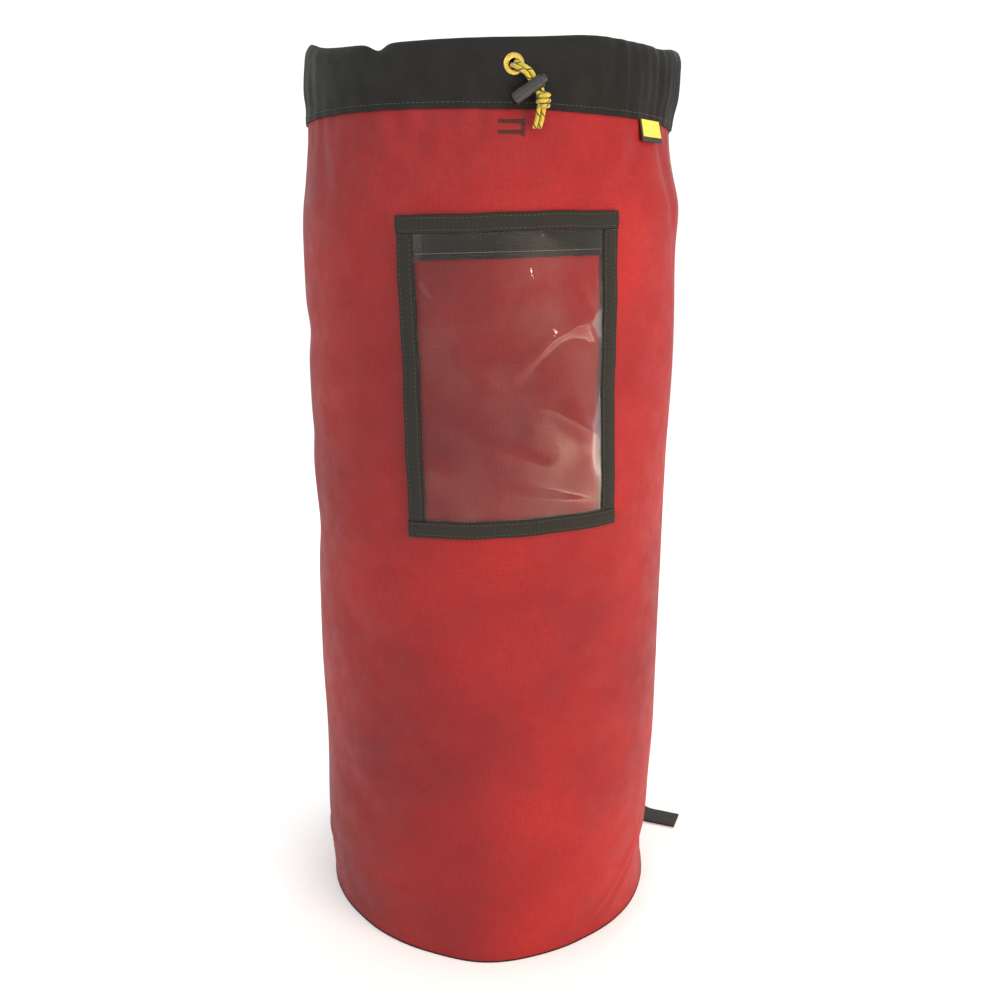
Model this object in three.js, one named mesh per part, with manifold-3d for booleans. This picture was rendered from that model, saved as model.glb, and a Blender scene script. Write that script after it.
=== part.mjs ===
// Rope storage bag: a tall round bag of coated fabric, with a drawstring collar, a clear document
// pocket on the front and two adjustable shoulder straps on the back.
//
// Units are millimetres. +Z is up and the origin is the centre of the base on the ground. The front,
// with the pocket and the cord exit, faces -Y. Angles round the bag are in degrees from the front,
// positive towards +X, so the back is at 180.

import * as THREE from 'three';
import { mergeVertices } from 'three/addons/utils/BufferGeometryUtils.js';
import Module from 'manifold-3d';

const wasm = await Module();
wasm.setup();

// ---------------------------------------------------------------- driving dimensions

const GAP = 0.3; // clearance between pieces that touch
const SEWN_GAP = 0.6; // clearance under a piece sewn flat onto the body's curve
const FABRIC = 1.2; // coated body and collar fabric
const ROUND = 48; // flat sides that stand for a full turn of fabric

const BODY_RADIUS = 152; // outside of the red body
const NECK_NARROWING = 7.5; // how far the collar seam gathers it in
const FOOT_NARROWING = 2.5; // and the base seam
const NECK_RADIUS = BODY_RADIUS - NECK_NARROWING;
const FOOT_RADIUS = BODY_RADIUS - FOOT_NARROWING;
const SEAM_HEIGHT = 668; // lower edge of the collar
const NECK_LENGTH = 62; // stretch over which the body narrows to its neck
const FOOT_LENGTH = 60; // stretch over which it narrows to its foot
const SEAM_OVERLAP = 9; // body fabric caught inside the collar

const COLLAR_HEIGHT = 50;
const COLLAR_FLARE = 3.4; // the collar is wider than the neck at the grommet
const COLLAR_RADIUS = NECK_RADIUS + COLLAR_FLARE;
const TUNNEL_DEPTH = 7.4; // free space for the cord between the collar's two layers

const BASE_FLANGE = 14; // height of the base panel's turned-up edge
const SEAM_TAPE = 1.0; // thickness of the tape over the base seam
const SEAM_TAPE_DROP = 10; // how far the tape hangs down the inside of the flange

const CORD = 3.0; // drawcord diameter
const STRAND_GAP = 0.4; // between the two strands that lie side by side
const CORD_PITCH = CORD + STRAND_GAP;

const GROMMET_HEIGHT = SEAM_HEIGHT + 28; // centre of the cord exit
const GROMMET_BORE = (CORD_PITCH + CORD) / 2 + GAP; // takes both strands
const GROMMET = {
  bore: GROMMET_BORE, wall: 0.7, flange: GROMMET_BORE + 3.65, dome: 1.2, washer: 0.7, lip: 0.6,
};
const DRAIN = { bore: 4.8, wall: 0.8, flange: 9.6, dome: 0.9, washer: 0.8, lip: 0.6 };
const DRAIN_BACK = 95; // distance of the drain behind the base's centre
const DRAIN_RECESS = 1.5; // the base is pushed up this far round the drain

const LOCK_RADIUS = 4.6; // cord lock barrel, outside
const LOCK_BORE = 3.5; // cord lock barrel, inside
const LOCK_BACK = 18.5; // closed end of the barrel, from the cord hole's centre
const LOCK_MOUTH = 4.8; // open end of the barrel, from the cord hole's centre
const LOCK_TRAVEL = 3.2; // how far the plunger goes in
const LOCK_REACH = 3.6; // plunger standing out of the barrel at rest
const LOCK_RISE = 34; // degrees, slope of the lock's own axis
const LOCK_STAND_OFF = 6.2; // lock axis in front of the collar
const LOCK_DROP = 13.3; // lock below the grommet
const LOCK_SIDE = 14.0; // lock to the right of the grommet

const POCKET = { width: 162, height: 232, middle: SEAM_HEIGHT - 183, angle: 0, tilt: 1.5 };
const BINDING_WIDTH = 13;
const BINDING_DEPTH = 4.6; // binding tape folded over the window's edge
const WINDOW = 0.5; // clear sheet
const WINDOW_LIFT = 2.9; // clear sheet above the body
const CLOSURE_WIDTH = 24; // hook and loop strips
const CLOSURE = 1.0; // thickness of each strip
const CLOSURE_HIDDEN = 7; // part of the strips under the top binding

const TAG = { width: 28, height: 15.5, thickness: 1.4, angle: 46, lean: 7 };

const TIE_LOOP = {
  width: 18, height: 52, reach: 17, corner: 5, webbing: 1.8, top: SEAM_HEIGHT - 7,
};

const WEBBING = 1.5;
const STRAP_WIDTH = 25;
const SPINE_WIDTH = 38; // webbing over the body's back seam
const SPINE_BOTTOM = 16;
const YOKE = { width: 190, height: 44, middle: SEAM_HEIGHT - 76, thickness: 1.2 };
const HAUL_DROP = 2.6; // swing axis of the haul loop below the collar seam
const HAUL_CLEARANCE = 0.5; // between the haul loop's sewn end and the spine webbing as it swings

const PAD_WIDTH = 55;
const PAD_THICKNESS = 7;
const PAD_BOTTOM = 232;
const STRAP_TOP = SEAM_HEIGHT - 64; // upper end of the shoulder straps
const STRAP_FOOT = 18; // lower anchor of the straps
const STRAP_TOP_ANGLE = 17; // from the back's centre
const STRAP_FOOT_ANGLE = 60;
const STRAP_BOW = 27; // slack of the straps away from the bag
const BUCKLE_HEIGHT = 130; // top bar of the ladder lock buckle

const BUCKLE = {
  inside: 28, rail: 4.2, thickness: 4, topBar: 1.8, centreBar: -11, barHeight: 3, endBar: -20.5,
  endBarHeight: 6.5, tab: 5,
};
const BUCKLE_REACH = 29.5; // radius round the top bar that the tilting buckle keeps within

// ---------------------------------------------------------------- materials

function finish(colour, roughness, metalness = 0, more = {}) {
  return new THREE.MeshStandardMaterial({ color: colour, roughness, metalness, ...more });
}
const redFabric = finish(0xb8302c, 0.62);
const blackFabric = finish(0x24231f, 0.8);
const blackWebbing = finish(0x26251f, 0.75);
const hookAndLoop = finish(0x1b1b19, 0.95);
const clearVinyl = finish(0xf2efe8, 0.08, 0, { transparent: true, opacity: 0.25 });
const brass = finish(0xc09a3e, 0.3, 1);
const yellowCord = finish(0xd8c62a, 0.7);
const yellowLabel = finish(0xe3dc4e, 0.75);
const lockPlastic = finish(0x17181a, 0.35);
const bucklePlastic = finish(0x191919, 0.5);
const springSteel = finish(0xb6b8bb, 0.3, 1);

// ---------------------------------------------------------------- shape helpers

const { degToRad, lerp } = THREE.MathUtils;

function smooth(t) {
  const s = THREE.MathUtils.clamp(t, 0, 1);
  return s * s * (3 - 2 * s);
}

// Outside radius of the red body at a height.
function bodyRadius(z) {
  const neck = smooth((z - SEAM_HEIGHT + NECK_LENGTH) / NECK_LENGTH);
  const foot = smooth((FOOT_LENGTH - z) / FOOT_LENGTH);
  return BODY_RADIUS - (BODY_RADIUS - NECK_RADIUS) * neck - (BODY_RADIUS - FOOT_RADIUS) * foot;
}

// A point at a distance from the bag's axis.
function around(angle, radius, z) {
  const a = degToRad(angle);
  return new THREE.Vector3(radius * Math.sin(a), -radius * Math.cos(a), z);
}

// A closed outline turned about Z. The outline's points are [radius, height].
function turned(outline, sides = ROUND) {
  const points = outline.map(([r, z]) => new THREE.Vector2(r, z));
  if (THREE.ShapeUtils.area(points) < 0) points.reverse();
  if (points[0].x > 0 || points.at(-1).x > 0) points.push(points[0].clone());
  return new THREE.LatheGeometry(points, sides).rotateX(Math.PI / 2);
}

// The outline of a sheet of fabric whose middle line runs smoothly through the points.
function sheetOutline(points, thickness, divisions) {
  const line = new THREE.SplineCurve(points.map(([r, z]) => new THREE.Vector2(r, z)));
  const sides = [1, -1].map((side) =>
    Array.from({ length: divisions + 1 }, (_, i) => {
      const at = line.getPoint(i / divisions);
      const along = line.getTangent(i / divisions);
      const half = (side * thickness) / 2;
      return [at.x - along.y * half, at.y + along.x * half];
    }),
  );
  return [...sides[0], ...sides[1].reverse()];
}

// A box whose vertices are moved by place(x, y, z), which keeps it closed.
function bent(box, place) {
  const at = box.getAttribute('position');
  const p = new THREE.Vector3();
  for (let i = 0; i < at.count; i++) {
    p.fromBufferAttribute(at, i);
    p.copy(place(p.x, p.y, p.z));
    at.setXYZ(i, p.x, p.y, p.z);
  }
  return box;
}

// A flat piece sewn onto the body: it follows the body's curve, from inner to outer above its surface.
function sewnOn({ width, height, angle, middle, tilt = 0, right = 0, up = 0 }, inner, outer, cells) {
  const box = new THREE.BoxGeometry(width, height, outer - inner, cells[0], cells[1], 1);
  const turn = degToRad(tilt);
  return bent(box, (x, y, n) => {
    const u = (x + right) * Math.cos(turn) - (y + up) * Math.sin(turn);
    const z = middle + (x + right) * Math.sin(turn) + (y + up) * Math.cos(turn);
    const above = (inner + outer) / 2 + n;
    const degrees = THREE.MathUtils.radToDeg(u / BODY_RADIUS);
    return around(angle + degrees, bodyRadius(z) + above, z);
  });
}

// A band of webbing: path(t) is its middle, across(t) the direction of its width.
function band(path, across, width, thickness, steps, cellsAcross = 1) {
  const box = new THREE.BoxGeometry(width, thickness, 1, cellsAcross, 1, steps);
  return bent(box, (u, n, s) => {
    const t = s + 0.5;
    const along = path(Math.min(1, t + 1e-3)).sub(path(Math.max(0, t - 1e-3))).normalize();
    const wide = across(t).clone();
    wide.addScaledVector(along, -wide.dot(along)).normalize();
    const face = new THREE.Vector3().crossVectors(along, wide);
    return path(t).addScaledVector(wide, u).addScaledVector(face, n);
  });
}

const ARC_SEGMENTS = 4; // of a round section, which has twice as many sides

// A round cord along a curve.
function cord(curve, steps) {
  const section = new THREE.Shape();
  section.absarc(0, 0, CORD / 2, 0, 2 * Math.PI);
  return new THREE.ExtrudeGeometry(section, {
    extrudePath: curve, steps, curveSegments: ARC_SEGMENTS, bevelEnabled: false,
  });
}

function throughPoints(points) {
  return new THREE.CatmullRomCurve3(points, false, 'centripetal');
}

// ---------------------------------------------------------------- joining and cutting

function solidOf(geometry) {
  const bare = new THREE.BufferGeometry();
  bare.setAttribute('position', geometry.getAttribute('position').clone());
  bare.setIndex(geometry.index);
  const merged = mergeVertices(bare, 1e-4);
  return new wasm.Manifold(
    new wasm.Mesh({
      numProp: 3,
      vertProperties: new Float32Array(merged.getAttribute('position').array),
      triVerts: new Uint32Array(merged.index.array),
    }),
  );
}

function geometryOf(solid) {
  const mesh = solid.getMesh();
  const geometry = new THREE.BufferGeometry();
  geometry.setAttribute('position', new THREE.BufferAttribute(mesh.vertProperties, 3));
  geometry.setIndex(new THREE.BufferAttribute(mesh.triVerts, 1));
  return geometry;
}

function cut(geometry, ...tools) {
  return geometryOf(tools.reduce((left, tool) => left.subtract(solidOf(tool)), solidOf(geometry)));
}

function joined(...geometries) {
  return geometryOf(geometries.map(solidOf).reduce((a, b) => a.add(b)));
}

function cylinder(radius, length, sides = 24) {
  return new THREE.CylinderGeometry(radius, radius, length, sides);
}

// ---------------------------------------------------------------- the scene graph

const bag = new THREE.Group();

function piece(name, geometry, material, parent = bag) {
  const mesh = new THREE.Mesh(geometry, material);
  mesh.name = name;
  parent.add(mesh);
  return mesh;
}

// A group whose X, Y and Z axes lie along the given directions.
function frameAt(origin, x, y, z, parent = bag) {
  const group = new THREE.Group();
  group.quaternion.setFromRotationMatrix(new THREE.Matrix4().makeBasis(x, y, z));
  group.position.copy(origin);
  parent.add(group);
  return group;
}

// ---------------------------------------------------------------- body, base and collar

function bodyPanel() {
  const steps = 6;
  const foot = Array.from({ length: steps }, (_, i) => (FOOT_LENGTH * (i + 1)) / steps);
  const neck = Array.from({ length: steps + 1 }, (_, i) => SEAM_HEIGHT - NECK_LENGTH * (1 - i / steps));
  const heights = [FABRIC + GAP, ...foot, ...neck, SEAM_HEIGHT + SEAM_OVERLAP];
  const outside = heights.map((z) => [bodyRadius(z), z]);
  const inside = heights.map((z) => [bodyRadius(z) - FABRIC, z]).reverse();
  return turned([...outside, ...inside]);
}

const flangeRadius = FOOT_RADIUS - FABRIC - GAP;

function basePanel() {
  const edge = FOOT_RADIUS - GAP;
  const dish = turned([
    [0, 0], [edge - 0.6, 0], [edge, FABRIC / 2], [edge - 0.6, FABRIC], [flangeRadius, FABRIC],
    [flangeRadius, BASE_FLANGE], [flangeRadius - FABRIC, BASE_FLANGE], [flangeRadius - FABRIC, FABRIC],
    [0, FABRIC],
  ]);
  const rim = DRAIN.flange + 2 * GAP + FABRIC;
  const raised = DRAIN_RECESS + FABRIC;
  const at = (geometry, z) => geometry.rotateX(Math.PI / 2).translate(0, DRAIN_BACK, z);
  const boss = at(cylinder(rim, raised - FABRIC / 2), (raised + FABRIC / 2) / 2);
  const recess = at(cylinder(rim - FABRIC, 2 * DRAIN_RECESS), 0);
  const hole = at(cylinder(DRAIN.bore + DRAIN.wall + GAP, 4 * raised), 0);
  return cut(joined(dish, boss), recess, hole);
}

function baseSeamTape() {
  const inner = flangeRadius - FABRIC - GAP;
  const under = BASE_FLANGE + GAP;
  return turned([
    [inner - SEAM_TAPE, under - SEAM_TAPE_DROP], [inner, under - SEAM_TAPE_DROP], [inner, under],
    [flangeRadius, under], [flangeRadius, under + SEAM_TAPE], [inner - SEAM_TAPE, under + SEAM_TAPE],
  ]);
}

const rimHeight = SEAM_HEIGHT + COLLAR_HEIGHT;
const outerLayer = COLLAR_RADIUS - FABRIC / 2; // middle of the collar's outer layer
const innerLayer = outerLayer - FABRIC - TUNNEL_DEPTH;

// Fabric folded over at the rim, with the body's upper edge caught between its two layers.
function collar() {
  const outerHem = NECK_RADIUS + GAP + FABRIC / 2;
  const innerHem = NECK_RADIUS - FABRIC - GAP - FABRIC / 2;
  const rim = rimHeight - FABRIC / 2;
  const hemTop = SEAM_HEIGHT + SEAM_OVERLAP + 1;
  const middle = (outerLayer + innerLayer) / 2;
  const outline = sheetOutline(
    [
      [outerHem, SEAM_HEIGHT], [outerHem + 0.2, hemTop], [outerLayer, hemTop + 10],
      [outerLayer, rim - 14], [outerLayer - 0.8, rim - 5], [middle, rim],
      [innerLayer + 0.8, rim - 5], [innerLayer, rim - 14], [innerLayer, hemTop + 12],
      [innerHem - 0.3, hemTop], [innerHem, SEAM_HEIGHT],
    ],
    FABRIC,
    15,
  );
  const hole = cylinder(GROMMET.bore + GROMMET.wall + GAP, 2 * TUNNEL_DEPTH);
  hole.translate(0, -COLLAR_RADIUS - GAP, GROMMET_HEIGHT);
  return cut(turned(outline), hole);
}

// ---------------------------------------------------------------- grommets

// The front half: a domed flange and a barrel whose end is rolled over the washer. Z points outwards
// and 0 is the fabric's outer face.
function grommetFace({ bore, wall, flange, dome, washer, lip }) {
  const barrel = bore + wall;
  const lipFront = -(FABRIC + 3 * GAP + washer);
  const width = flange - bore;
  return turned(
    [
      [bore, lipFront - lip], [bore, GAP + dome * 0.6], [bore + width * 0.25, GAP + dome],
      [bore + width * 0.6, GAP + dome], [flange - 0.2, GAP + dome * 0.5], [flange, GAP],
      [barrel, GAP], [barrel, lipFront], [barrel + 1, lipFront], [barrel + 1, lipFront - lip],
    ],
    28,
  );
}

function grommetWasher({ bore, wall, flange, washer }) {
  const hole = bore + wall + GAP;
  const front = -(FABRIC + 2 * GAP);
  return turned(
    [[hole, front - washer], [flange - 0.3, front - washer], [flange - 0.3, front], [hole, front]],
    28,
  );
}

function cordGrommet() {
  const frame = frameAt(
    new THREE.Vector3(0, -COLLAR_RADIUS, GROMMET_HEIGHT),
    new THREE.Vector3(1, 0, 0), new THREE.Vector3(0, 0, 1), new THREE.Vector3(0, -1, 0),
  );
  piece('cord_grommet_face', grommetFace(GROMMET), brass, frame);
  piece('cord_grommet_washer', grommetWasher(GROMMET), brass, frame);
}

function drainGrommet() {
  const frame = frameAt(
    new THREE.Vector3(0, DRAIN_BACK, DRAIN_RECESS),
    new THREE.Vector3(1, 0, 0), new THREE.Vector3(0, -1, 0), new THREE.Vector3(0, 0, -1),
  );
  piece('drain_grommet_face', grommetFace(DRAIN), brass, frame);
  piece('drain_grommet_washer', grommetWasher(DRAIN), brass, frame);
}

// ---------------------------------------------------------------- drawcord and cord lock

const rise = degToRad(LOCK_RISE);
const lockAxis = new THREE.Vector3(Math.cos(rise), 0, Math.sin(rise)); // towards the plunger
const cordRun = new THREE.Vector3(Math.sin(rise), 0, -Math.cos(rise)); // down the strands

// A point near the cord exit: right of the grommet's centre, above it and out from the collar.
function byGrommet(right, above, out) {
  return new THREE.Vector3(right, -COLLAR_RADIUS - out, GROMMET_HEIGHT + above);
}
const lockCentre = byGrommet(LOCK_SIDE, -LOCK_DROP, LOCK_STAND_OFF);

const loopRadius = innerLayer + FABRIC / 2 + CORD / 2 + GAP + 0.15; // lies on the inner layer
const LOOP_STOP = 10.847; // where the cord turns out to the grommet, along the loop from the front
const loopEnd = THREE.MathUtils.radToDeg(LOOP_STOP / loopRadius);

class LoopCurve extends THREE.Curve {
  getPoint(t) {
    return around(lerp(loopEnd, 360 - loopEnd, t), loopRadius, GROMMET_HEIGHT);
  }
}

// One strand from the loop's end, out of the grommet and through the lock to the knot. side is 1 for
// the strand from the right, which lies above the other one.
function strand(side) {
  const aside = lockAxis.clone().multiplyScalar((side * CORD_PITCH) / 2);
  const shared = [byGrommet(2.3, -1.5, 4), byGrommet(5.4, -3.4, 5.7)];
  const inLock = [-9, -4.5, 0, 4.9].map((s) => lockCentre.clone().addScaledVector(cordRun, s));
  return throughPoints([
    byGrommet(side * 10.4, 0, -6.75),
    byGrommet(side * 6.3, side * 0.2, -6.6),
    byGrommet(side * 2.7, side * 0.7, -5.5),
    byGrommet(0, 0, -3.7).add(aside),
    byGrommet(0, 0, -1).add(aside),
    byGrommet(0, 0, 1.4).add(aside),
    ...[...shared, ...inLock].map((p) => p.add(aside)),
  ]);
}

const knotCentre = byGrommet(19.3, -23.2, 4.8);

function knot() {
  return new THREE.SphereGeometry(1, 16, 10).scale(5.9, 4.9, 5.7).translate(...knotCentre);
}

function tail(side) {
  const points = [[17.8, -29.6, 4.6], [17.3, -34, 3.9], [15.2, -41, 3.2]];
  return throughPoints(points.map(([x, z, n]) => byGrommet(x + (side * CORD_PITCH) / 2, z, n)));
}

function drawcord() {
  piece('drawcord_loop', cord(new LoopCurve(), 60), yellowCord);
  for (const [name, side] of [['left', -1], ['right', 1]]) {
    piece(`drawcord_strand_${name}`, cord(strand(side), 22), yellowCord);
    piece(`drawcord_tail_${name}`, cord(tail(side), 5), yellowCord);
  }
  piece('drawcord_knot', knot(), yellowCord);
}

// A slot along Z with round ends, cut right across along X.
function cordSlot(from, to) {
  const radius = CORD / 2 + GAP;
  const slot = new THREE.Shape();
  slot.absarc(0, from + radius, radius, Math.PI, 2 * Math.PI);
  slot.absarc(0, to - radius, radius, 0, Math.PI);
  const across = 4 * LOCK_RADIUS;
  return new THREE.ExtrudeGeometry(slot, { depth: across, curveSegments: 8, bevelEnabled: false })
    .translate(0, 0, -across / 2)
    .rotateX(Math.PI / 2)
    .rotateZ(Math.PI / 2);
}

const slotHalf = (CORD_PITCH + CORD) / 2 + GAP;
const lockFloor = 1.5; // closed end of the barrel
const plungerBottom = -8;

function lockBarrel() {
  const r = LOCK_RADIUS;
  const cup = turned(
    [
      [0, -LOCK_BACK], [r - 0.9, -LOCK_BACK], [r, -LOCK_BACK + 0.9], [r, LOCK_MOUTH - 1.6],
      [r + 0.35, LOCK_MOUTH - 1.2], [r + 0.35, LOCK_MOUTH - 0.4], [r - 0.1, LOCK_MOUTH],
      [LOCK_BORE, LOCK_MOUTH], [LOCK_BORE, lockFloor - LOCK_BACK], [0, lockFloor - LOCK_BACK],
    ],
    28,
  );
  return cut(cup, cordSlot(-slotHalf, slotHalf));
}

function lockPlunger() {
  const r = LOCK_BORE - GAP;
  const top = LOCK_MOUTH + LOCK_REACH;
  const stem = turned(
    [
      [0, plungerBottom], [r, plungerBottom], [r, top - 1], [r * 0.85, top - 0.35], [r * 0.5, top - 0.05],
      [0, top],
    ],
    24,
  );
  return cut(stem, cordSlot(-slotHalf, slotHalf + LOCK_TRAVEL));
}

class SpringCurve extends THREE.Curve {
  constructor(radius, from, to, turns) {
    super();
    Object.assign(this, { radius, from, to, turns });
  }

  getPoint(t) {
    const a = 2 * Math.PI * this.turns * t;
    const height = lerp(this.from, this.to, t);
    return new THREE.Vector3(this.radius * Math.cos(a), this.radius * Math.sin(a), height);
  }
}

function lockSpring() {
  const wire = 0.35;
  const bottom = lockFloor - LOCK_BACK + wire + GAP;
  const top = plungerBottom - wire - GAP;
  const section = new THREE.Shape();
  section.absarc(0, 0, wire, 0, 2 * Math.PI);
  return new THREE.ExtrudeGeometry(section, {
    extrudePath: new SpringCurve(2.6, bottom, top, 4.5), steps: 54, curveSegments: 3, bevelEnabled: false,
  });
}

function cordLock() {
  const frame = frameAt(lockCentre, cordRun, new THREE.Vector3(0, 1, 0), lockAxis);
  frame.name = 'cord_lock_frame';
  piece('cord_lock_barrel', lockBarrel(), lockPlastic, frame);
  piece('cord_lock_plunger', lockPlunger(), lockPlastic, frame);
  piece('cord_lock_spring', lockSpring(), springSteel, frame);
}

// ---------------------------------------------------------------- document pocket

// A part of the pocket, placed by its own size and its centre's offset from the pocket's centre.
function pocketPart(width, height, right, up, inner, outer, cells) {
  const { angle, middle, tilt } = POCKET;
  return sewnOn({ width, height, angle, middle, tilt, right, up }, inner, outer, cells);
}

function documentPocket() {
  const { width, height } = POCKET;
  const side = (width - BINDING_WIDTH) / 2;
  const end = (height - BINDING_WIDTH) / 2;
  const sheetSize = [width - 2 * FABRIC, height - 2 * FABRIC, 0, 0];
  const window = pocketPart(...sheetSize, WINDOW_LIFT, WINDOW_LIFT + WINDOW, [18, 10]);
  const room = pocketPart(
    sheetSize[0] + 2 * GAP, sheetSize[1] + 2 * GAP, 0, 0,
    WINDOW_LIFT - GAP, WINDOW_LIFT + WINDOW + GAP, [18, 10],
  );
  const across = [18, 1];
  const down = [2, 10];
  const tape = (...size) => cut(pocketPart(...size.slice(0, 4), GAP, BINDING_DEPTH, size[4]), room);
  const between = height - 2 * BINDING_WIDTH - 2 * GAP;
  piece('pocket_window', window, clearVinyl);
  piece('pocket_binding_top', tape(width, BINDING_WIDTH, 0, end, across), blackWebbing);
  piece('pocket_binding_bottom', tape(width, BINDING_WIDTH, 0, -end, across), blackWebbing);
  piece('pocket_binding_left', tape(BINDING_WIDTH, between, -side, 0, down), blackWebbing);
  piece('pocket_binding_right', tape(BINDING_WIDTH, between, side, 0, down), blackWebbing);

  // The two strips lie inside the pocket's mouth, clear of the tape folded behind the sheet.
  const strip = width - 2 * BINDING_WIDTH - 2 * GAP;
  const visible = CLOSURE_WIDTH - CLOSURE_HIDDEN;
  const up = height / 2 - BINDING_WIDTH - GAP - visible / 2;
  const hook = WINDOW_LIFT - GAP - CLOSURE;
  const loopTop = GAP + CLOSURE - 0.1;
  piece('pocket_loop_strip', pocketPart(strip, visible, 0, up, GAP, loopTop, across), hookAndLoop);
  piece('pocket_hook_strip', pocketPart(strip, visible, 0, up, hook, hook + CLOSURE, across), hookAndLoop);
}

// ---------------------------------------------------------------- label and tie loop

function sideLabel() {
  const a = degToRad(TAG.angle);
  const out = new THREE.Vector3(Math.sin(a), -Math.cos(a), 0);
  const along = new THREE.Vector3(Math.cos(a), Math.sin(a), 0);
  const hinge = around(TAG.angle, NECK_RADIUS + GAP + FABRIC + 1.1, SEAM_HEIGHT - GAP);
  const frame = frameAt(hinge, along, out.clone().negate(), new THREE.Vector3(0, 0, 1));
  frame.name = 'side_label_frame';
  const leaf = new THREE.BoxGeometry(TAG.width, TAG.thickness, TAG.height);
  leaf.translate(0, 0, -TAG.height / 2 - TAG.thickness / 2).rotateX(degToRad(-TAG.lean));
  piece('side_label', leaf, yellowLabel, frame);
}

function rounded(path, width, height, radius) {
  const x = width / 2 - radius;
  const y = height / 2 - radius;
  path.absarc(x, y, radius, 0, Math.PI / 2);
  path.absarc(-x, y, radius, Math.PI / 2, Math.PI);
  path.absarc(-x, -y, radius, Math.PI, 1.5 * Math.PI);
  path.absarc(x, -y, radius, 1.5 * Math.PI, 2 * Math.PI);
  path.closePath();
  return path;
}

// A webbing loop inside the mouth that the rope's end is tied to.
function ropeTieLoop() {
  const { width, height, reach, corner, webbing, top } = TIE_LOOP;
  const outline = rounded(new THREE.Shape(), reach, height, corner + webbing);
  const eye = rounded(new THREE.Path(), reach - 2 * webbing, height - 2 * webbing, corner);
  outline.holes.push(eye);
  const loop = new THREE.ExtrudeGeometry(outline, { depth: width, curveSegments: 5, bevelEnabled: false });
  const wall = bodyRadius(top) - FABRIC - GAP - (width / 2) ** 2 / (2 * NECK_RADIUS);
  loop.translate(0, 0, -width / 2).rotateX(Math.PI / 2).rotateZ(Math.PI / 2);
  loop.translate(0, -wall + reach / 2, top - height / 2);
  return loop;
}

// ---------------------------------------------------------------- back: seam webbing, yoke and haul loop

const backPiece = (width, height, middle) => ({ width, height, middle, angle: 180 });

function spineWebbing() {
  const top = SEAM_HEIGHT - 2 * GAP;
  const size = backPiece(SPINE_WIDTH, top - SPINE_BOTTOM, (top + SPINE_BOTTOM) / 2);
  return sewnOn(size, SEWN_GAP, SEWN_GAP + WEBBING, [4, 48]);
}

const yokeInner = SEWN_GAP + WEBBING + GAP;

function strapYoke() {
  const size = backPiece(YOKE.width, YOKE.height, YOKE.middle);
  return sewnOn(size, yokeInner, yokeInner + YOKE.thickness, [20, 3]);
}

// The haul loop's webbing from one sewn end round to the other, as distances out from the swing axis
// and above it. Both ends lie together on the axis and the loop hangs clear of the bag's wall.
function haulRun() {
  const layer = WEBBING / 2 + GAP / 2;
  return [
    [-layer, 0.5], [-layer + 0.1, -3], [0.6, -12], [4.0, -30], [9.2, -48], [13.5, -62], [20.5, -69.5],
    [27.5, -63], [26.5, -48], [16.5, -25], [6.5, -10], [layer + 0.7, -3], [layer, 0.5],
  ];
}

function haulLoop() {
  const height = SEAM_HEIGHT - HAUL_DROP;
  const axis = bodyRadius(height) + SEWN_GAP + 2 * WEBBING + GAP / 2 + HAUL_CLEARANCE;
  const frame = frameAt(
    new THREE.Vector3(0, axis, height),
    new THREE.Vector3(1, 0, 0), new THREE.Vector3(0, 1, 0), new THREE.Vector3(0, 0, 1),
  );
  frame.name = 'haul_loop_frame';
  const line = throughPoints(haulRun().map(([out, up]) => new THREE.Vector3(0, out, up)));
  const web = band((t) => line.getPoint(t), () => new THREE.Vector3(1, 0, 0), STRAP_WIDTH, WEBBING, 40);
  piece('haul_loop', web, blackWebbing, frame);
}

// ---------------------------------------------------------------- shoulder straps

// The middle of a shoulder strap at a height, and its distance from the bag.
function strapSlack(z) {
  return STRAP_BOW * Math.sin((Math.PI * (STRAP_TOP - z)) / (STRAP_TOP - STRAP_FOOT));
}

function strapAngle(side, z) {
  const down = (STRAP_TOP - z) / (STRAP_TOP - STRAP_FOOT);
  return 180 - side * lerp(STRAP_TOP_ANGLE, STRAP_FOOT_ANGLE, down);
}

function strapPoint(side, z, above) {
  return around(strapAngle(side, z), bodyRadius(z) + above + strapSlack(z), z);
}

// Level direction across a strap, pointing towards +X on the bag's back.
function strapAcross(side, z) {
  const a = degToRad(strapAngle(side, z));
  return new THREE.Vector3(-Math.cos(a), -Math.sin(a), 0);
}

const strapLift = yokeInner + YOKE.thickness + GAP; // the straps start on top of the yoke
const padMiddle = strapLift + PAD_THICKNESS / 2;

function shoulderPad(side) {
  const height = (t) => lerp(STRAP_TOP, PAD_BOTTOM, t);
  return band(
    (t) => strapPoint(side, height(t), padMiddle),
    (t) => strapAcross(side, height(t)),
    PAD_WIDTH, PAD_THICKNESS, 24, 2,
  );
}

// The ladder lock's frame: its origin is the top bar's axis, X across, Y out and Z up the strap.
function buckleFrame(side) {
  const origin = strapPoint(side, BUCKLE_HEIGHT, strapLift + 3);
  const up = strapPoint(side, BUCKLE_HEIGHT + 5, 0).sub(strapPoint(side, BUCKLE_HEIGHT - 5, 0)).normalize();
  const across = strapAcross(side, BUCKLE_HEIGHT);
  across.addScaledVector(up, -across.dot(up)).normalize();
  const out = new THREE.Vector3().crossVectors(up, across);
  const frame = frameAt(origin, across, out, up);
  frame.updateMatrixWorld(true);
  return frame;
}

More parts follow.
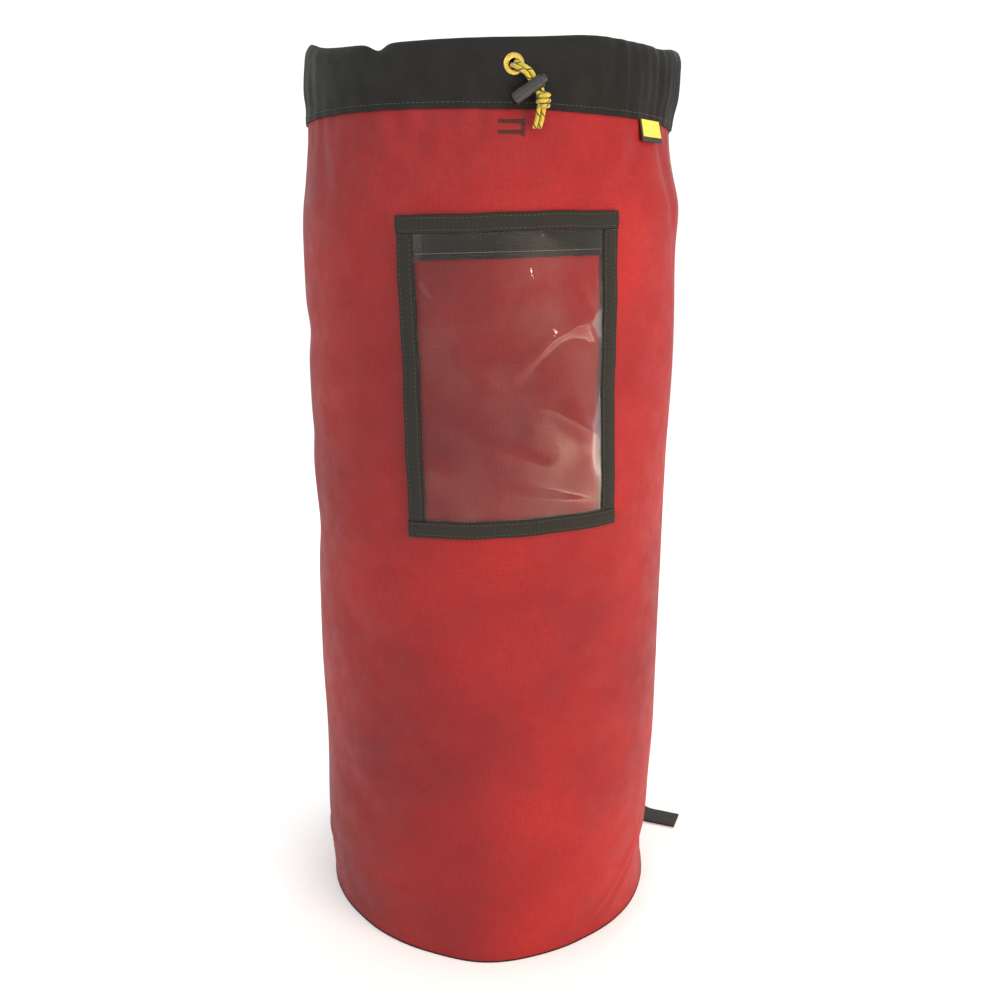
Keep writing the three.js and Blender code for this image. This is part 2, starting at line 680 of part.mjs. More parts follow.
function ladderLock() {
  const { inside, rail, thickness, topBar, centreBar, barHeight, endBar, endBarHeight, tab } = BUCKLE;
  const whole = inside + 2 * rail;
  const bottom = endBar - endBarHeight;
  const slab = (width, deep, from, to) =>
    new THREE.BoxGeometry(width, deep, to - from).translate(0, 0, (from + to) / 2);
  const bar = cylinder(topBar, inside + rail, 16).rotateZ(Math.PI / 2);
  const rails = [-1, 1].map((side) =>
    slab(rail, thickness, bottom, topBar + 1).translate((side * (inside + rail)) / 2, 0, 0),
  );
  const middle = slab(inside + rail, thickness - 0.8, centreBar - barHeight / 2, centreBar + barHeight / 2);
  const last = slab(inside + rail, thickness - 0.4, bottom, endBar);
  const lip = slab(whole - 6, 2.4, 0, tab + 1).rotateX(degToRad(-145)).translate(0, 0.8, bottom + 0.8);
  return joined(bar, ...rails, middle, last, lip);
}

// The webbing that holds the buckle: from the pad's end down round the top bar and back up, where it
// is sewn to itself.
function buckleLoop(side, frame) {
  const r = BUCKLE.topBar + 0.35 + WEBBING / 2;
  const layer = WEBBING / 2 + 0.2;
  const bend = [
    [layer, 28], [layer + 0.5, 15], [r, 6], [r, 0], [r * 0.7, -r * 0.7], [0, -r], [-r * 0.7, -r * 0.7],
    [-r, 0], [-r, 6], [-layer - 0.5, 15], [-layer, 24], [-layer, 34],
  ].map(([out, up]) => new THREE.Vector3(0, out, up));
  const end = frame.worldToLocal(strapPoint(side, PAD_BOTTOM - 2 * GAP, padMiddle));
  const line = throughPoints([end, end.clone().lerp(bend[0], 0.5), ...bend]);
  return band((t) => line.getPoint(t), () => new THREE.Vector3(1, 0, 0), STRAP_WIDTH, WEBBING, 40);
}

// The adjustable webbing inside the buckle: up behind it, over the centre bar and down again behind
// the end bar.
const throughBuckle = [
  [-6, -28.3], [-6, -24], [-5.9, -17], [-5.3, -12.2], [-3.7, -9.2], [-1.7, -7.9], [0.4, -7.8],
  [2.3, -8.8], [3.1, -11], [2.6, -13.4], [0.4, -16], [-2.0, -17.9], [-3.3, -20.6], [-3.6, -24],
  [-3.7, -28.3],
];

function strapFold() {
  const line = throughPoints(throughBuckle.map(([out, up]) => new THREE.Vector3(0, out, up)));
  return band((t) => line.getPoint(t), () => new THREE.Vector3(1, 0, 0), STRAP_WIDTH, WEBBING, 34);
}

// A piece of webbing through points, each with the direction of its width there.
function webbingThrough(points, widths, steps) {
  const line = throughPoints(points);
  const across = (t) => {
    const at = line.getUtoTmapping(t) * (widths.length - 1);
    const i = Math.min(widths.length - 2, Math.floor(at));
    return widths[i].clone().lerp(widths[i + 1], at - i);
  };
  return band((t) => line.getPointAt(t), across, STRAP_WIDTH, WEBBING, steps);
}

// The strap between its anchor at the bag's foot and the buckle.
function lowerStrap(side, frame) {
  const heights = [STRAP_FOOT, 32, 48, 64, 80];
  const foot = heights.map((z) => strapPoint(side, z, SEWN_GAP + WEBBING / 2));
  const top = [-36, -BUCKLE_REACH].map((up) => frame.localToWorld(new THREE.Vector3(0, -6, up)));
  const across = strapAcross(side, BUCKLE_HEIGHT);
  const widths = [...heights.map((z) => strapAcross(side, z)), ...top.map(() => across)];
  return webbingThrough([...foot, ...top], widths, 20);
}

// Free ends of the two straps. Each row is a point, as X and Y from the strap's own line and its height,
// and the direction, in degrees from +X, of the webbing's width there.
const rightTail = [
  [8.538, 5.779, 72, -62], [15.851, -0.697, 50, -80], [22.286, -7.716, 28, -101],
  [28.062, -16.52, 10, -115], [37.062, -26.02, 2.4, -119], [51.062, -33.82, 1.4, -119],
  [67.062, -42.62, 1.4, -119],
];
const leftTail = [
  [-1.538, 17.779, 72, 38], [1.058, 32.834, 48, 18], [4.4, 47.372, 24, 1],
  [6.938, 61.98, 7, -7], [8.938, 75.98, 1.6, -8], [12.938, 99.98, 1.4, -8],
];

function strapTail(side, frame, rows) {
  const top = [-BUCKLE_REACH, -36].map((up) => frame.localToWorld(new THREE.Vector3(0, -3.7, up)));
  const line = (z) => strapPoint(side, Math.max(z, STRAP_FOOT), 0).setZ(z);
  const points = rows.map(([x, y, z]) => line(z).add(new THREE.Vector3(x, y, 0)));
  const widths = rows.map(([, , , a]) => new THREE.Vector3(Math.cos(degToRad(a)), Math.sin(degToRad(a)), 0));
  const across = strapAcross(side, BUCKLE_HEIGHT);
  return webbingThrough([...top, ...points], [across, across, ...widths], 36);
}

function shoulderStrap(name, side, tailRows) {
  const frame = buckleFrame(side);
  frame.name = `ladder_lock_${name}_frame`;
  piece(`shoulder_pad_${name}`, shoulderPad(side), blackWebbing);
  piece(`buckle_loop_${name}`, buckleLoop(side, frame), blackWebbing, frame);
  piece(`ladder_lock_${name}`, ladderLock(), bucklePlastic, frame);
  piece(`strap_fold_${name}`, strapFold(), blackWebbing, frame);
  piece(`lower_strap_${name}`, lowerStrap(side, frame), blackWebbing);
  piece(`strap_tail_${name}`, strapTail(side, frame, tailRows), blackWebbing);
}

// ---------------------------------------------------------------- assembly

piece('body_panel', bodyPanel(), redFabric);
piece('base_panel', basePanel(), blackFabric);
piece('base_seam_tape', baseSeamTape(), blackWebbing);
piece('collar', collar(), blackFabric);
cordGrommet();
drainGrommet();
drawcord();
cordLock();
documentPocket();
sideLabel();
piece('rope_tie_loop', ropeTieLoop(), blackWebbing);
piece('spine_webbing', spineWebbing(), blackWebbing);
piece('strap_yoke', strapYoke(), blackFabric);
haulLoop();
shoulderStrap('left', -1, leftTail);
shoulderStrap('right', 1, rightTail);

export default bag;
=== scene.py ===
"""The looks of a rope storage bag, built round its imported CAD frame: fabric, webbing, cord and hardware.

Lengths are in millimetres and angles in degrees until a mesh is made. Angles round the bag are from
the front, positive towards +X. Z is up and the bag stands on Z = 0.
"""

import math

import bpy
import numpy as np
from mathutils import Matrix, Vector


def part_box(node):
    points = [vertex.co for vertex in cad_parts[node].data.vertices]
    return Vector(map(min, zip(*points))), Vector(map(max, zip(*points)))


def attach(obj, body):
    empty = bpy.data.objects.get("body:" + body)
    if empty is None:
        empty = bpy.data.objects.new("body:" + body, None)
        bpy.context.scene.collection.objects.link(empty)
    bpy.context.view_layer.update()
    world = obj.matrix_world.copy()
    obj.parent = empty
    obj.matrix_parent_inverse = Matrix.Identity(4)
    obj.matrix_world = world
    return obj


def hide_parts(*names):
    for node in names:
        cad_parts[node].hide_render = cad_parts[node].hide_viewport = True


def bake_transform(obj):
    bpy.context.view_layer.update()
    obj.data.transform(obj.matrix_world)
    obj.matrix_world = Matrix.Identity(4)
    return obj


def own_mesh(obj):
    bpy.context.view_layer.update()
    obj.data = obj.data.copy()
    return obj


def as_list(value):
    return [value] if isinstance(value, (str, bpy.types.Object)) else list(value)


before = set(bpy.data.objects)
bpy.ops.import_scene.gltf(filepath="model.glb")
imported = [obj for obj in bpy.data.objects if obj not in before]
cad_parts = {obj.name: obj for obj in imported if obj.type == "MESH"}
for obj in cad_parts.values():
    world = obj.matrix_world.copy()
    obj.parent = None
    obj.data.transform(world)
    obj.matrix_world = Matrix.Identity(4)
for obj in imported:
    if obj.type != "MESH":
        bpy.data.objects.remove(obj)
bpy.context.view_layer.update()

MM = 0.001


def node_box(name):
    """A CAD node's lowest and highest corners, in millimetres."""
    return [np.array(corner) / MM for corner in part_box(name)]


# ---------------------------------------------------------------- dimensions shared with the CAD

GAP = 0.3
SEWN_GAP = 0.6
FABRIC = 1.2
WEBBING = 1.5
STRAP_WIDTH = 25
CORD = 3.0
CORD_PITCH = 3.4

BODY_RADIUS = node_box("body_panel")[1][0]
NECK_RADIUS = BODY_RADIUS - 7.5
FOOT_RADIUS = BODY_RADIUS - 2.5
SEAM = node_box("collar")[0][2]
RIM = node_box("collar")[1][2]
BODY_TOP = node_box("body_panel")[1][2]
NECK_LENGTH = 62
FOOT_LENGTH = 60
COLLAR_RADIUS = NECK_RADIUS + 3.4
GROMMET_HEIGHT = np.mean([corner[2] for corner in node_box("cord_grommet_face")])
DRAIN_BACK = np.mean([corner[1] for corner in node_box("drain_grommet_face")])

POCKET = {"width": 162, "height": 232, "middle": 485, "tilt": 1.5, "binding": 13}
WINDOW_LIFT = 2.9

STRAP_TOP, STRAP_FOOT = 604, 18
STRAP_TOP_ANGLE, STRAP_FOOT_ANGLE = 17, 60
STRAP_BOW = 27
PAD_BOTTOM = 232
PAD_WIDTH = 55
BUCKLE_HEIGHT = 130
YOKE = {"width": 190, "height": 44, "middle": 592, "thickness": 1.2}
YOKE_LIFT = SEWN_GAP + WEBBING + GAP
STRAP_LIFT = YOKE_LIFT + YOKE["thickness"] + GAP
PAD_MIDDLE = STRAP_LIFT + 3.5


def smooth(t):
    s = np.clip(t, 0, 1)
    return s * s * (3 - 2 * s)


def turn_between(a, b):
    """From angle b to angle a, the short way round."""
    return (np.asarray(a, float) - b + 180) % 360 - 180


def around(angle, radius, z):
    a = np.radians(angle)
    return np.stack(np.broadcast_arrays(radius * np.sin(a), -radius * np.cos(a), z), -1)


def body_radius(z):
    """The CAD body's outside radius at a height."""
    neck = smooth((z - SEAM + NECK_LENGTH) / NECK_LENGTH)
    foot = smooth((FOOT_LENGTH - z) / FOOT_LENGTH)
    return BODY_RADIUS - (BODY_RADIUS - NECK_RADIUS) * neck - (BODY_RADIUS - FOOT_RADIUS) * foot


# ---------------------------------------------------------------- curves

def catmull(points, count):
    """A smooth centripetal curve through the points, as count evenly spaced points."""
    p = np.asarray(points, float)
    p = np.vstack([2 * p[0] - p[1], p, 2 * p[-1] - p[-2]])
    fine = []
    for i in range(1, len(p) - 2):
        a, b, c, d = p[i - 1:i + 3]
        steps = [max(1e-4, np.linalg.norm(y - x)) ** 0.5 for x, y in ((a, b), (b, c), (c, d))]
        leave = ((b - a) / steps[0] - (c - a) / (steps[0] + steps[1]) + (c - b) / steps[1]) * steps[1]
        arrive = ((c - b) / steps[1] - (d - b) / (steps[1] + steps[2]) + (d - c) / steps[2]) * steps[1]
        t = np.linspace(0, 1, 24, endpoint=False)[:, None]
        fine.append(
            b * (2 * t**3 - 3 * t**2 + 1) + leave * (t**3 - 2 * t**2 + t)
            + c * (3 * t**2 - 2 * t**3) + arrive * (t**3 - t**2)
        )
    return resample(np.vstack([*fine, p[-2][None]]), count)


def distances(points):
    return np.concatenate([[0], np.cumsum(np.linalg.norm(np.diff(points, axis=0), axis=1))])


def resample(points, count):
    d = distances(points)
    at = np.linspace(0, d[-1], count)
    return np.stack([np.interp(at, d, points[:, k]) for k in range(points.shape[1])], -1)


def unit(v):
    return v / np.maximum(np.linalg.norm(v, axis=-1, keepdims=True), 1e-9)


def tangents(points):
    return unit(np.gradient(points, axis=0))


# ---------------------------------------------------------------- meshes

def new_object(name, points, faces, material, uv=None, sharp=45):
    mesh = bpy.data.meshes.new(name)
    mesh.from_pydata((np.asarray(points).reshape(-1, 3) * MM).tolist(), [], faces)
    if uv is not None:
        mesh.uv_layers.new(name="cloth").data.foreach_set("uv", np.asarray(uv, float).ravel())
    mesh.materials.append(material)
    mesh.shade_smooth()
    mesh.set_sharp_from_angle(angle=math.radians(sharp))
    made = bpy.data.objects.new(name, mesh)
    bpy.context.scene.collection.objects.link(made)
    return made


def skin_faces(count, sides, closed):
    """Quads between rings of points, with end caps unless the rings close into a loop."""
    i = np.arange(count if closed else count - 1)[:, None]
    k = np.arange(sides)[None, :]
    corners = ((i, k), (i, k + 1), (i + 1, k + 1), (i + 1, k))
    quads = np.stack([(r % count) * sides + c % sides for r, c in corners], -1).reshape(-1, 4)
    rows = np.stack(np.broadcast_arrays(*[np.stack(np.broadcast_arrays(r, c), -1) for r, c in corners]), -2)
    caps = [] if closed else [list(range(sides))[::-1], list(range((count - 1) * sides, count * sides))]
    return quads, rows.reshape(-1, 4, 2), caps


def skin(name, rings, material, closed=False, sharp=45):
    """A solid skinned over rings of points. Its UVs are millimetres round and along it."""
    rings = np.asarray(rings, float)
    count, sides = rings.shape[:2]
    quads, corners, caps = skin_faces(count, sides, closed)
    p = rings.reshape(-1, 3)
    a, b, c, d = (p[quads[:, n]] for n in range(4))
    volume = np.sum(np.cross(b - a, c - a) * a) + np.sum(np.cross(c - a, d - a) * a)
    if volume < 0:
        quads, corners = quads[:, ::-1], corners[:, ::-1]
        caps = [cap[::-1] for cap in caps]
    loop = np.vstack([rings[count // 2], rings[count // 2][:1]])
    round_mm = distances(loop)
    middle = rings.mean(1)
    if closed:
        middle = rings[:, 0]
        middle = np.vstack([middle, middle[:1]])
    along_mm = distances(middle)
    uv = np.stack([round_mm[corners[..., 1]], along_mm[corners[..., 0]]], -1).reshape(-1, 2)
    uv = np.vstack([uv, np.zeros((sum(len(cap) for cap in caps), 2))])
    return new_object(name, p, quads.tolist() + caps, material, uv, sharp)


def tube_rings(points, radius, sides=14):
    """Round rings along a line, without twist."""
    along = tangents(points)
    side = np.cross(along[0], [0.2, 0.9, 0.4])
    rings = []
    a = np.linspace(0, 2 * np.pi, sides, endpoint=False)[:, None]
    radii = np.broadcast_to(radius, len(points))
    for p, t, r in zip(points, along, radii):
        side = unit(side - t * (side @ t))
        rings.append(p + r * (np.cos(a) * side + np.sin(a) * np.cross(t, side)))
    return np.array(rings)


def tube(name, points, radius, material, sides=14):
    return skin(name, tube_rings(np.asarray(points), radius, sides), material, sharp=70)


def ribbon_rings(points, across, width, thickness):
    """Rings of a flat strap whose edges are rounded. across is the direction of its width at each point."""
    along = tangents(points)
    wide = unit(across - along * np.sum(across * along, 1)[:, None])
    face = np.cross(along, wide)
    edge = thickness / 2
    spots = np.linspace(-width / 2 + edge, width / 2 - edge, 6)
    top = [(w, edge) for w in spots]
    turn = [(width / 2 - edge * 0.3, edge * 0.7), (width / 2, 0)]
    half = top + turn + [(turn[0][0], -turn[0][1])]
    section = half + [(-w, -n) for w, n in half]
    section = [s for i, s in enumerate(section) if s not in section[:i]]
    return np.array([[p + w * x + f * y for x, y in section] for p, w, f in zip(points, wide, face)])


def ribbon(name, points, across, width, thickness, material):
    across = np.broadcast_to(np.asarray(across, float), np.shape(points))
    return skin(name, ribbon_rings(np.asarray(points), across, width, thickness), material)


def slab(name, us, vs, place, material, rounding=0.5):
    """A thick sheet over a grid. place(u, v, side) gives its points, with side from 0 inside to 1 outside."""
    edge = [(us[0], 0.5)]
    outer = [(u, 1.0) for u in us]
    inner = [(u, 0.0) for u in us[::-1]]
    section = edge + outer + [(us[-1], 0.5)] + inner
    u = np.array([s[0] for s in section], float)
    side = np.array([s[1] for s in section])
    u[0] -= rounding
    u[len(us) + 1] += rounding
    return skin(name, [place(u, np.full(len(u), v), side) for v in vs], material)


def stitches(name, line, normals, material, pitch=3.8, length=2.8, thick=0.5, crossways=False):
    """A row of thread stitches along a line on a surface. crossways turns each one across the line."""
    line, normals = np.asarray(line, float), np.asarray(normals, float)
    count = max(2, int(distances(line)[-1] / pitch))
    even = resample(np.hstack([line, normals]), 2 * count + 1)[1::2]
    centre, up = even[:, :3], unit(even[:, 3:])
    along = unit(np.gradient(centre, axis=0))
    side = np.cross(up, along)
    if crossways:
        along, side = side, along
    k = np.arange(6) * np.pi / 3
    shapes = []
    for reach, lift, size in ((-0.5, -0.35, 0.5), (-0.26, 0.22, 1), (0.26, 0.22, 1), (0.5, -0.35, 0.5)):
        middle = centre + along * reach * length + up * lift * thick
        ring = np.cos(k)[None, :, None] * side[:, None] + np.sin(k)[None, :, None] * up[:, None]
        shapes.append(middle[:, None] + ring * thick * size / 2)
    rings = np.stack(shapes, 1)
    quads, _, caps = skin_faces(4, 6, False)
    faces = quads.tolist() + caps
    every = [[v + 24 * s for v in f] for s in range(count) for f in faces]
    return new_object(name, rings, every, material, sharp=80)


def applied(piece, *modifiers):
    """Makes the modified mesh the piece's own."""
    shown = piece.evaluated_get(bpy.context.evaluated_depsgraph_get())
    mesh = bpy.data.meshes.new_from_object(shown)
    for modifier in modifiers:
        piece.modifiers.remove(modifier)
    piece.data = mesh
    return piece


def bored(piece, start, end, radius):
    """Cuts a round hole through a piece."""
    cutter = tube("cutter", np.linspace(start, end, 3), radius, piece.data.materials[0], sides=32)
    hole = piece.modifiers.new("hole", "BOOLEAN")
    hole.operation = "DIFFERENCE"
    hole.object = cutter
    bpy.context.view_layer.update()
    applied(piece, hole)
    bpy.data.objects.remove(cutter)
    piece.data.shade_smooth()
    piece.data.set_sharp_from_angle(angle=math.radians(45))
    return piece


def sewn(piece, body="bag", replaced=()):
    """Puts a finished piece on its body and hides the CAD nodes that it stands for."""
    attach(piece, body)
    if replaced:
        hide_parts(*replaced)
    return piece


# ---------------------------------------------------------------- materials

class Shade:
    """A material whose nodes feed one Principled shader. Its patterns are in millimetres."""

    def __init__(self, name, roughness=0.6, metallic=0.0, **uniform):
        self.material = bpy.data.materials.new(name)
        self.material.use_nodes = True
        self.tree = self.material.node_tree
        self.shader = self.tree.nodes["Principled BSDF"]
        self.set("Roughness", roughness)
        self.set("Metallic", metallic)
        for key, value in uniform.items():
            self.set(key.replace("_", " "), value)

    def feed(self, socket, value):
        if isinstance(value, bpy.types.NodeSocket):
            self.tree.links.new(value, socket)
        else:
            socket.default_value = value

    def set(self, key, value):
        self.feed(self.shader.inputs[key], value)

    def node(self, kind, inputs=(), **settings):
        made = self.tree.nodes.new("ShaderNode" + kind)
        for key, value in settings.items():
            setattr(made, key, value)
        for key, value in dict(inputs).items():
            self.feed(made.inputs[key], value)
        return made

    def sum(self, operation, a, b=0.0, c=0.0):
        return self.node("Math", {0: a, 1: b, 2: c}, operation=operation).outputs[0]

    def cloth(self, across=1.0, along=1.0):
        """The cloth's own coordinates, stretched."""
        uv = self.node("UVMap", uv_map="cloth").outputs[0]
        return self.node("Mapping", {"Vector": uv, "Scale": (across, along, 1)}).outputs[0]

    def solid(self, scale=1.0):
        """The object's own coordinates in millimetres, scaled."""
        place = self.node("TexCoord").outputs["Object"]
        return self.node("Mapping", {"Vector": place, "Scale": (scale / MM,) * 3}).outputs[0]

    def noise(self, vector, scale=1.0, detail=3.0, rough=0.55):
        inputs = {"Vector": vector, "Scale": scale, "Detail": detail, "Roughness": rough}
        return self.node("TexNoise", inputs).outputs[0]

    def axes(self, vector):
        split = self.node("SeparateXYZ", {0: vector})
        return split.outputs[0], split.outputs[1]

    def wave(self, value, period, phase=0.0):
        """From 0 to 1 and back, once each period."""
        turn = self.sum("MULTIPLY_ADD", value, 2 * math.pi / period, phase)
        return self.sum("MULTIPLY_ADD", self.sum("SINE", turn), 0.5, 0.5)

    def spread(self, value, low, high, to_low=0.0, to_high=1.0):
        inputs = {0: value, 1: low, 2: high, 3: to_low, 4: to_high}
        return self.node("MapRange", inputs).outputs[0]

    def mix(self, factor, a, b, how="MIX"):
        made = self.node("Mix", data_type="RGBA", blend_type=how)
        for socket, value in ((made.inputs[0], factor), (made.inputs[6], a), (made.inputs[7], b)):
            self.feed(socket, (*value, 1) if isinstance(value, tuple) else value)
        return made.outputs[2]

    def colour(self, value):
        self.feed(self.shader.inputs["Base Color"], (*value, 1) if isinstance(value, tuple) else value)

    def bump(self, height, depth, strength=1.0):
        """Relief whose full height is depth millimetres."""
        inputs = {"Height": height, "Distance": depth * MM, "Strength": strength}
        self.set("Normal", self.node("Bump", inputs).outputs[0])


def paint(red, green, blue):
    """A colour from its usual 0 to 255 values."""
    shares = [v / 255 for v in (red, green, blue)]
    return tuple(((v + 0.055) / 1.055) ** 2.4 if v > 10 / 255 else v / 12.92 for v in shares)


def canvas(name, dark, light, roughness, thread=0.95, relief=0.14):
    """Plain-woven coated cloth: threads, slubs, faint soiling and creases."""
    m = Shade(name, roughness, Specular_IOR_Level=0.28)
    across, along = m.axes(m.cloth())
    weave = m.sum("MULTIPLY", m.wave(across, thread), m.wave(along, thread))
    slubs = m.sum("ADD", m.noise(m.cloth(0.09, 0.9), 1, 4), m.noise(m.cloth(0.9, 0.09), 1, 4))
    grain = m.noise(m.cloth(), 0.9, 4, 0.7)
    cloudy = m.noise(m.solid(), 0.006, 3)
    base = m.mix(m.spread(cloudy, 0.35, 0.66), dark, light)
    base = m.mix(m.spread(slubs, 0.8, 1.25, 0, 0.45), base, tuple(0.72 * c for c in dark))
    base = m.mix(m.spread(grain, 0.5, 0.75, 0, 0.25), base, tuple(min(1, 1.25 * c + 0.004) for c in light))
    m.colour(m.mix(m.sum("MULTIPLY", weave, 0.14), base, (0, 0, 0)))
    m.set("Roughness", m.spread(m.noise(m.solid(), 0.05, 4), 0.3, 0.7, roughness - 0.09, roughness + 0.08))
    uneven = m.sum("MULTIPLY_ADD", slubs, 0.5, m.sum("MULTIPLY", grain, 0.6))
    height = m.sum("MULTIPLY_ADD", weave, 0.35, uneven)
    m.bump(height, relief)
    return m.material


def woven_tape(name, dark, light, ribs=1.7, chevron=0.0, roughness=0.62, relief=0.35):
    """Webbing or binding tape, with ribs across it or in chevrons."""
    m = Shade(name, roughness, Specular_IOR_Level=0.3)
    across, along = m.axes(m.cloth())
    zigzag = m.sum("ABSOLUTE", m.sum("MULTIPLY_ADD", m.wave(across, 5.0), 2.0, -1.0))
    shifted = m.sum("MULTIPLY_ADD", zigzag, chevron, along)
    rib = m.wave(shifted, ribs)
    yarn = m.wave(across, 0.9)
    fuzz = m.noise(m.cloth(), 1.4, 4, 0.7)
    shade = m.sum("MULTIPLY_ADD", rib, 0.6, m.sum("MULTIPLY", fuzz, 0.6))
    m.colour(m.mix(m.spread(shade, 0.25, 0.95), dark, light))
    m.set("Roughness", m.spread(fuzz, 0.3, 0.7, roughness - 0.1, roughness + 0.12))
    height = m.sum("MULTIPLY_ADD", rib, 0.7, m.sum("MULTIPLY_ADD", yarn, 0.2, m.sum("MULTIPLY", fuzz, 0.3)))
    m.bump(height, relief)
    return m.material


def thread_shade(name, dark, light):
    m = Shade(name, 0.55)
    place = m.noise(m.solid(), 1.6, 3)
    m.colour(m.mix(place, dark, light))
    m.bump(place, 0.15)
    return m.material


def pile_shade():
    """Hook and loop strip: rows of short hooks."""
    m = Shade("hook_and_loop", 0.7, Specular_IOR_Level=0.3)
    across, along = m.axes(m.cloth())
    rows = m.sum("MULTIPLY", m.wave(across, 1.6), m.wave(along, 1.6))
    fuzz = m.noise(m.cloth(), 1.1, 5, 0.8)
    height = m.sum("ADD", rows, fuzz)
    m.colour(m.mix(m.spread(height, 0.4, 1.3), paint(12, 12, 8), paint(46, 43, 31)))
    m.bump(height, 0.4)
    return m.material


def vinyl_shade():
    """Clear flexible sheet: nearly invisible, with crinkled gloss and a faint whitish layer that is partly
    haze and partly painted reflection in stretched streaks.
    """
    m = Shade("clear_vinyl", 0.11, IOR=1.5)
    swirl = m.noise(m.solid(), 0.018, 4, 0.5)
    flow = m.node("Mapping", {"Vector": m.cloth(0.02, 0.012), "Rotation": (0, 0, 0.6)}).outputs[0]
    # Painted reflection: stretched streaks raise the whitish layer where reflection bands would show; the
    # swirls are haze.
    streaks = m.noise(flow, 1.4, 3, 0.55)
    haze_and_painted_reflection = m.sum("MULTIPLY", m.spread(swirl, 0.46, 0.74, 0.001, 0.022), m.spread(streaks, 0.3, 0.7, 0.4, 1.5))
    m.colour(paint(238, 232, 220))
    m.bump(m.noise(m.solid(), 0.04, 1), 0.25, 0.4)
    bump = m.shader.inputs["Normal"].links[0].from_socket
    clear = m.node("BsdfTransparent", {"Color": (0.9, 0.895, 0.885, 1)}).outputs[0]
    gloss = m.node("BsdfGlossy", {"Color": (1, 1, 1, 1), "Roughness": 0.04, "Normal": bump}).outputs[0]
    facing = m.node("Fresnel", {"IOR": 1.5, "Normal": bump}).outputs[0]
    shine = m.node("MixShader", {0: m.sum("MULTIPLY", facing, 0.32), 1: clear, 2: gloss}).outputs[0]
    # The whitish layer of haze and painted reflection, mixed over the clear gloss.
    whole = m.node("MixShader", {0: haze_and_painted_reflection, 1: shine, 2: m.shader.outputs[0]}).outputs[0]
    m.tree.links.new(whole, m.tree.nodes["Material Output"].inputs["Surface"])
    return m.material


def metal_shade(name, clean, worn, roughness):
    m = Shade(name, roughness, 1.0)
    marks = m.noise(m.solid(), 0.5, 5, 0.7)
    m.colour(m.mix(m.spread(marks, 0.45, 0.7), clean, worn))
    m.set("Roughness", m.spread(marks, 0.3, 0.75, roughness - 0.08, roughness + 0.22))
    m.bump(m.noise(m.solid(), 1.2, 3), 0.04)
    return m.material


def moulded_shade(name, colour, roughness):
    """Moulded plastic with a fine grain and rubbed spots."""
    m = Shade(name, roughness, Coat_Weight=0.25, Coat_Roughness=0.2)
    grain = m.noise(m.solid(), 2.2, 3, 0.6)
    rubbed = m.noise(m.solid(), 0.18, 4, 0.6)
    m.colour(m.mix(m.spread(rubbed, 0.45, 0.75, 0, 0.5), colour, tuple(2.2 * c + 0.004 for c in colour)))
    m.set("Roughness", m.spread(rubbed, 0.3, 0.7, roughness - 0.08, roughness + 0.12))
    m.bump(grain, 0.05)
    return m.material


def braid_shade():
    """Braided sheath: yellow yarns with grey and black tracers that wind both ways round the cord."""
    m = Shade("drawcord", 0.5, Sheen_Weight=0.15)
    across, along = m.axes(m.cloth())
    turns = m.sum("MULTIPLY", across, 1 / (math.pi * CORD))
    lay = m.sum("MULTIPLY", along, 1 / 8.0)
    windings = [m.sum("ADD", lay, turns), m.sum("SUBTRACT", lay, turns)]
    yarns = [m.wave(w, 1 / 6) for w in windings]
    tracers = [m.sum("LESS_THAN", m.sum("FRACT", w), width) for w, width in zip(windings, (0.13, 0.1))]
    height = m.sum("MULTIPLY", *yarns)
    base = m.mix(m.spread(height, 0.1, 0.7), paint(150, 128, 12), paint(232, 212, 40))
    base = m.mix(tracers[0], base, paint(38, 38, 34))
    m.colour(m.mix(m.sum("MULTIPLY", tracers[1], 0.8), base, paint(150, 148, 128)))
    m.bump(height, 0.3)
    return m.material


def label_shade(name, dark, light):
    m = Shade(name, 0.6)
    across, along = m.axes(m.cloth())
    satin = m.wave(m.sum("ADD", across, along), 0.8)
    m.colour(m.mix(m.sum("MULTIPLY", m.noise(m.cloth(), 0.5, 4), satin), light, dark))
    m.bump(satin, 0.1)
    return m.material


red_fabric = canvas("red_fabric", paint(112, 18, 22), paint(146, 28, 25), 0.6)
red_inside = canvas("red_lining", paint(132, 22, 22), paint(156, 32, 28), 0.45)
black_fabric = canvas("black_fabric", paint(10, 9, 6), paint(21, 19, 13), 0.66, 1.0, 0.2)
webbing_shade = woven_tape("black_webbing", paint(13, 12, 9), paint(44, 38, 29), 2.0, 1.2, 0.62, 0.45)
binding_shade = woven_tape("black_binding", paint(12, 11, 8), paint(36, 33, 24), 1.2, 0.0, 0.6, 0.3)
pad_shade = canvas("strap_pad", paint(17, 16, 13), paint(29, 27, 22), 0.72, 1.3, 0.35)
black_thread = thread_shade("black_thread", paint(18, 16, 13), paint(44, 40, 32))
olive_thread = thread_shade("olive_thread", paint(44, 41, 31), paint(74, 68, 52))
cream_thread = thread_shade("cream_thread", paint(120, 112, 88), paint(176, 166, 138))
hook_pile = pile_shade()
vinyl = vinyl_shade()
brass = metal_shade("brass", paint(222, 188, 96), paint(168, 132, 62), 0.24)
steel = metal_shade("spring_steel", paint(190, 190, 192), paint(140, 138, 134), 0.28)
lock_plastic = moulded_shade("lock_plastic", paint(9, 9, 9), 0.26)
buckle_plastic = moulded_shade("buckle_plastic", paint(20, 20, 19), 0.42)
drawcord = braid_shade()
label_yellow = label_shade("label_yellow", paint(150, 138, 34), paint(204, 190, 74))
# Black for the label's bottom edge, and for painted shadow down its left side.
label_black_and_painted_shadow = label_shade("label_black_and_painted_shadow", paint(14, 14, 12), paint(36, 34, 28))


# ---------------------------------------------------------------- camera

CAMERA_SIDE = -6.5
CAMERA_DISTANCE = 864.5
CAMERA_HEIGHT = 580.5
CAMERA_PITCH = 14.41
CAMERA_LENS = 36.03
OFF_AXIS = 0.6


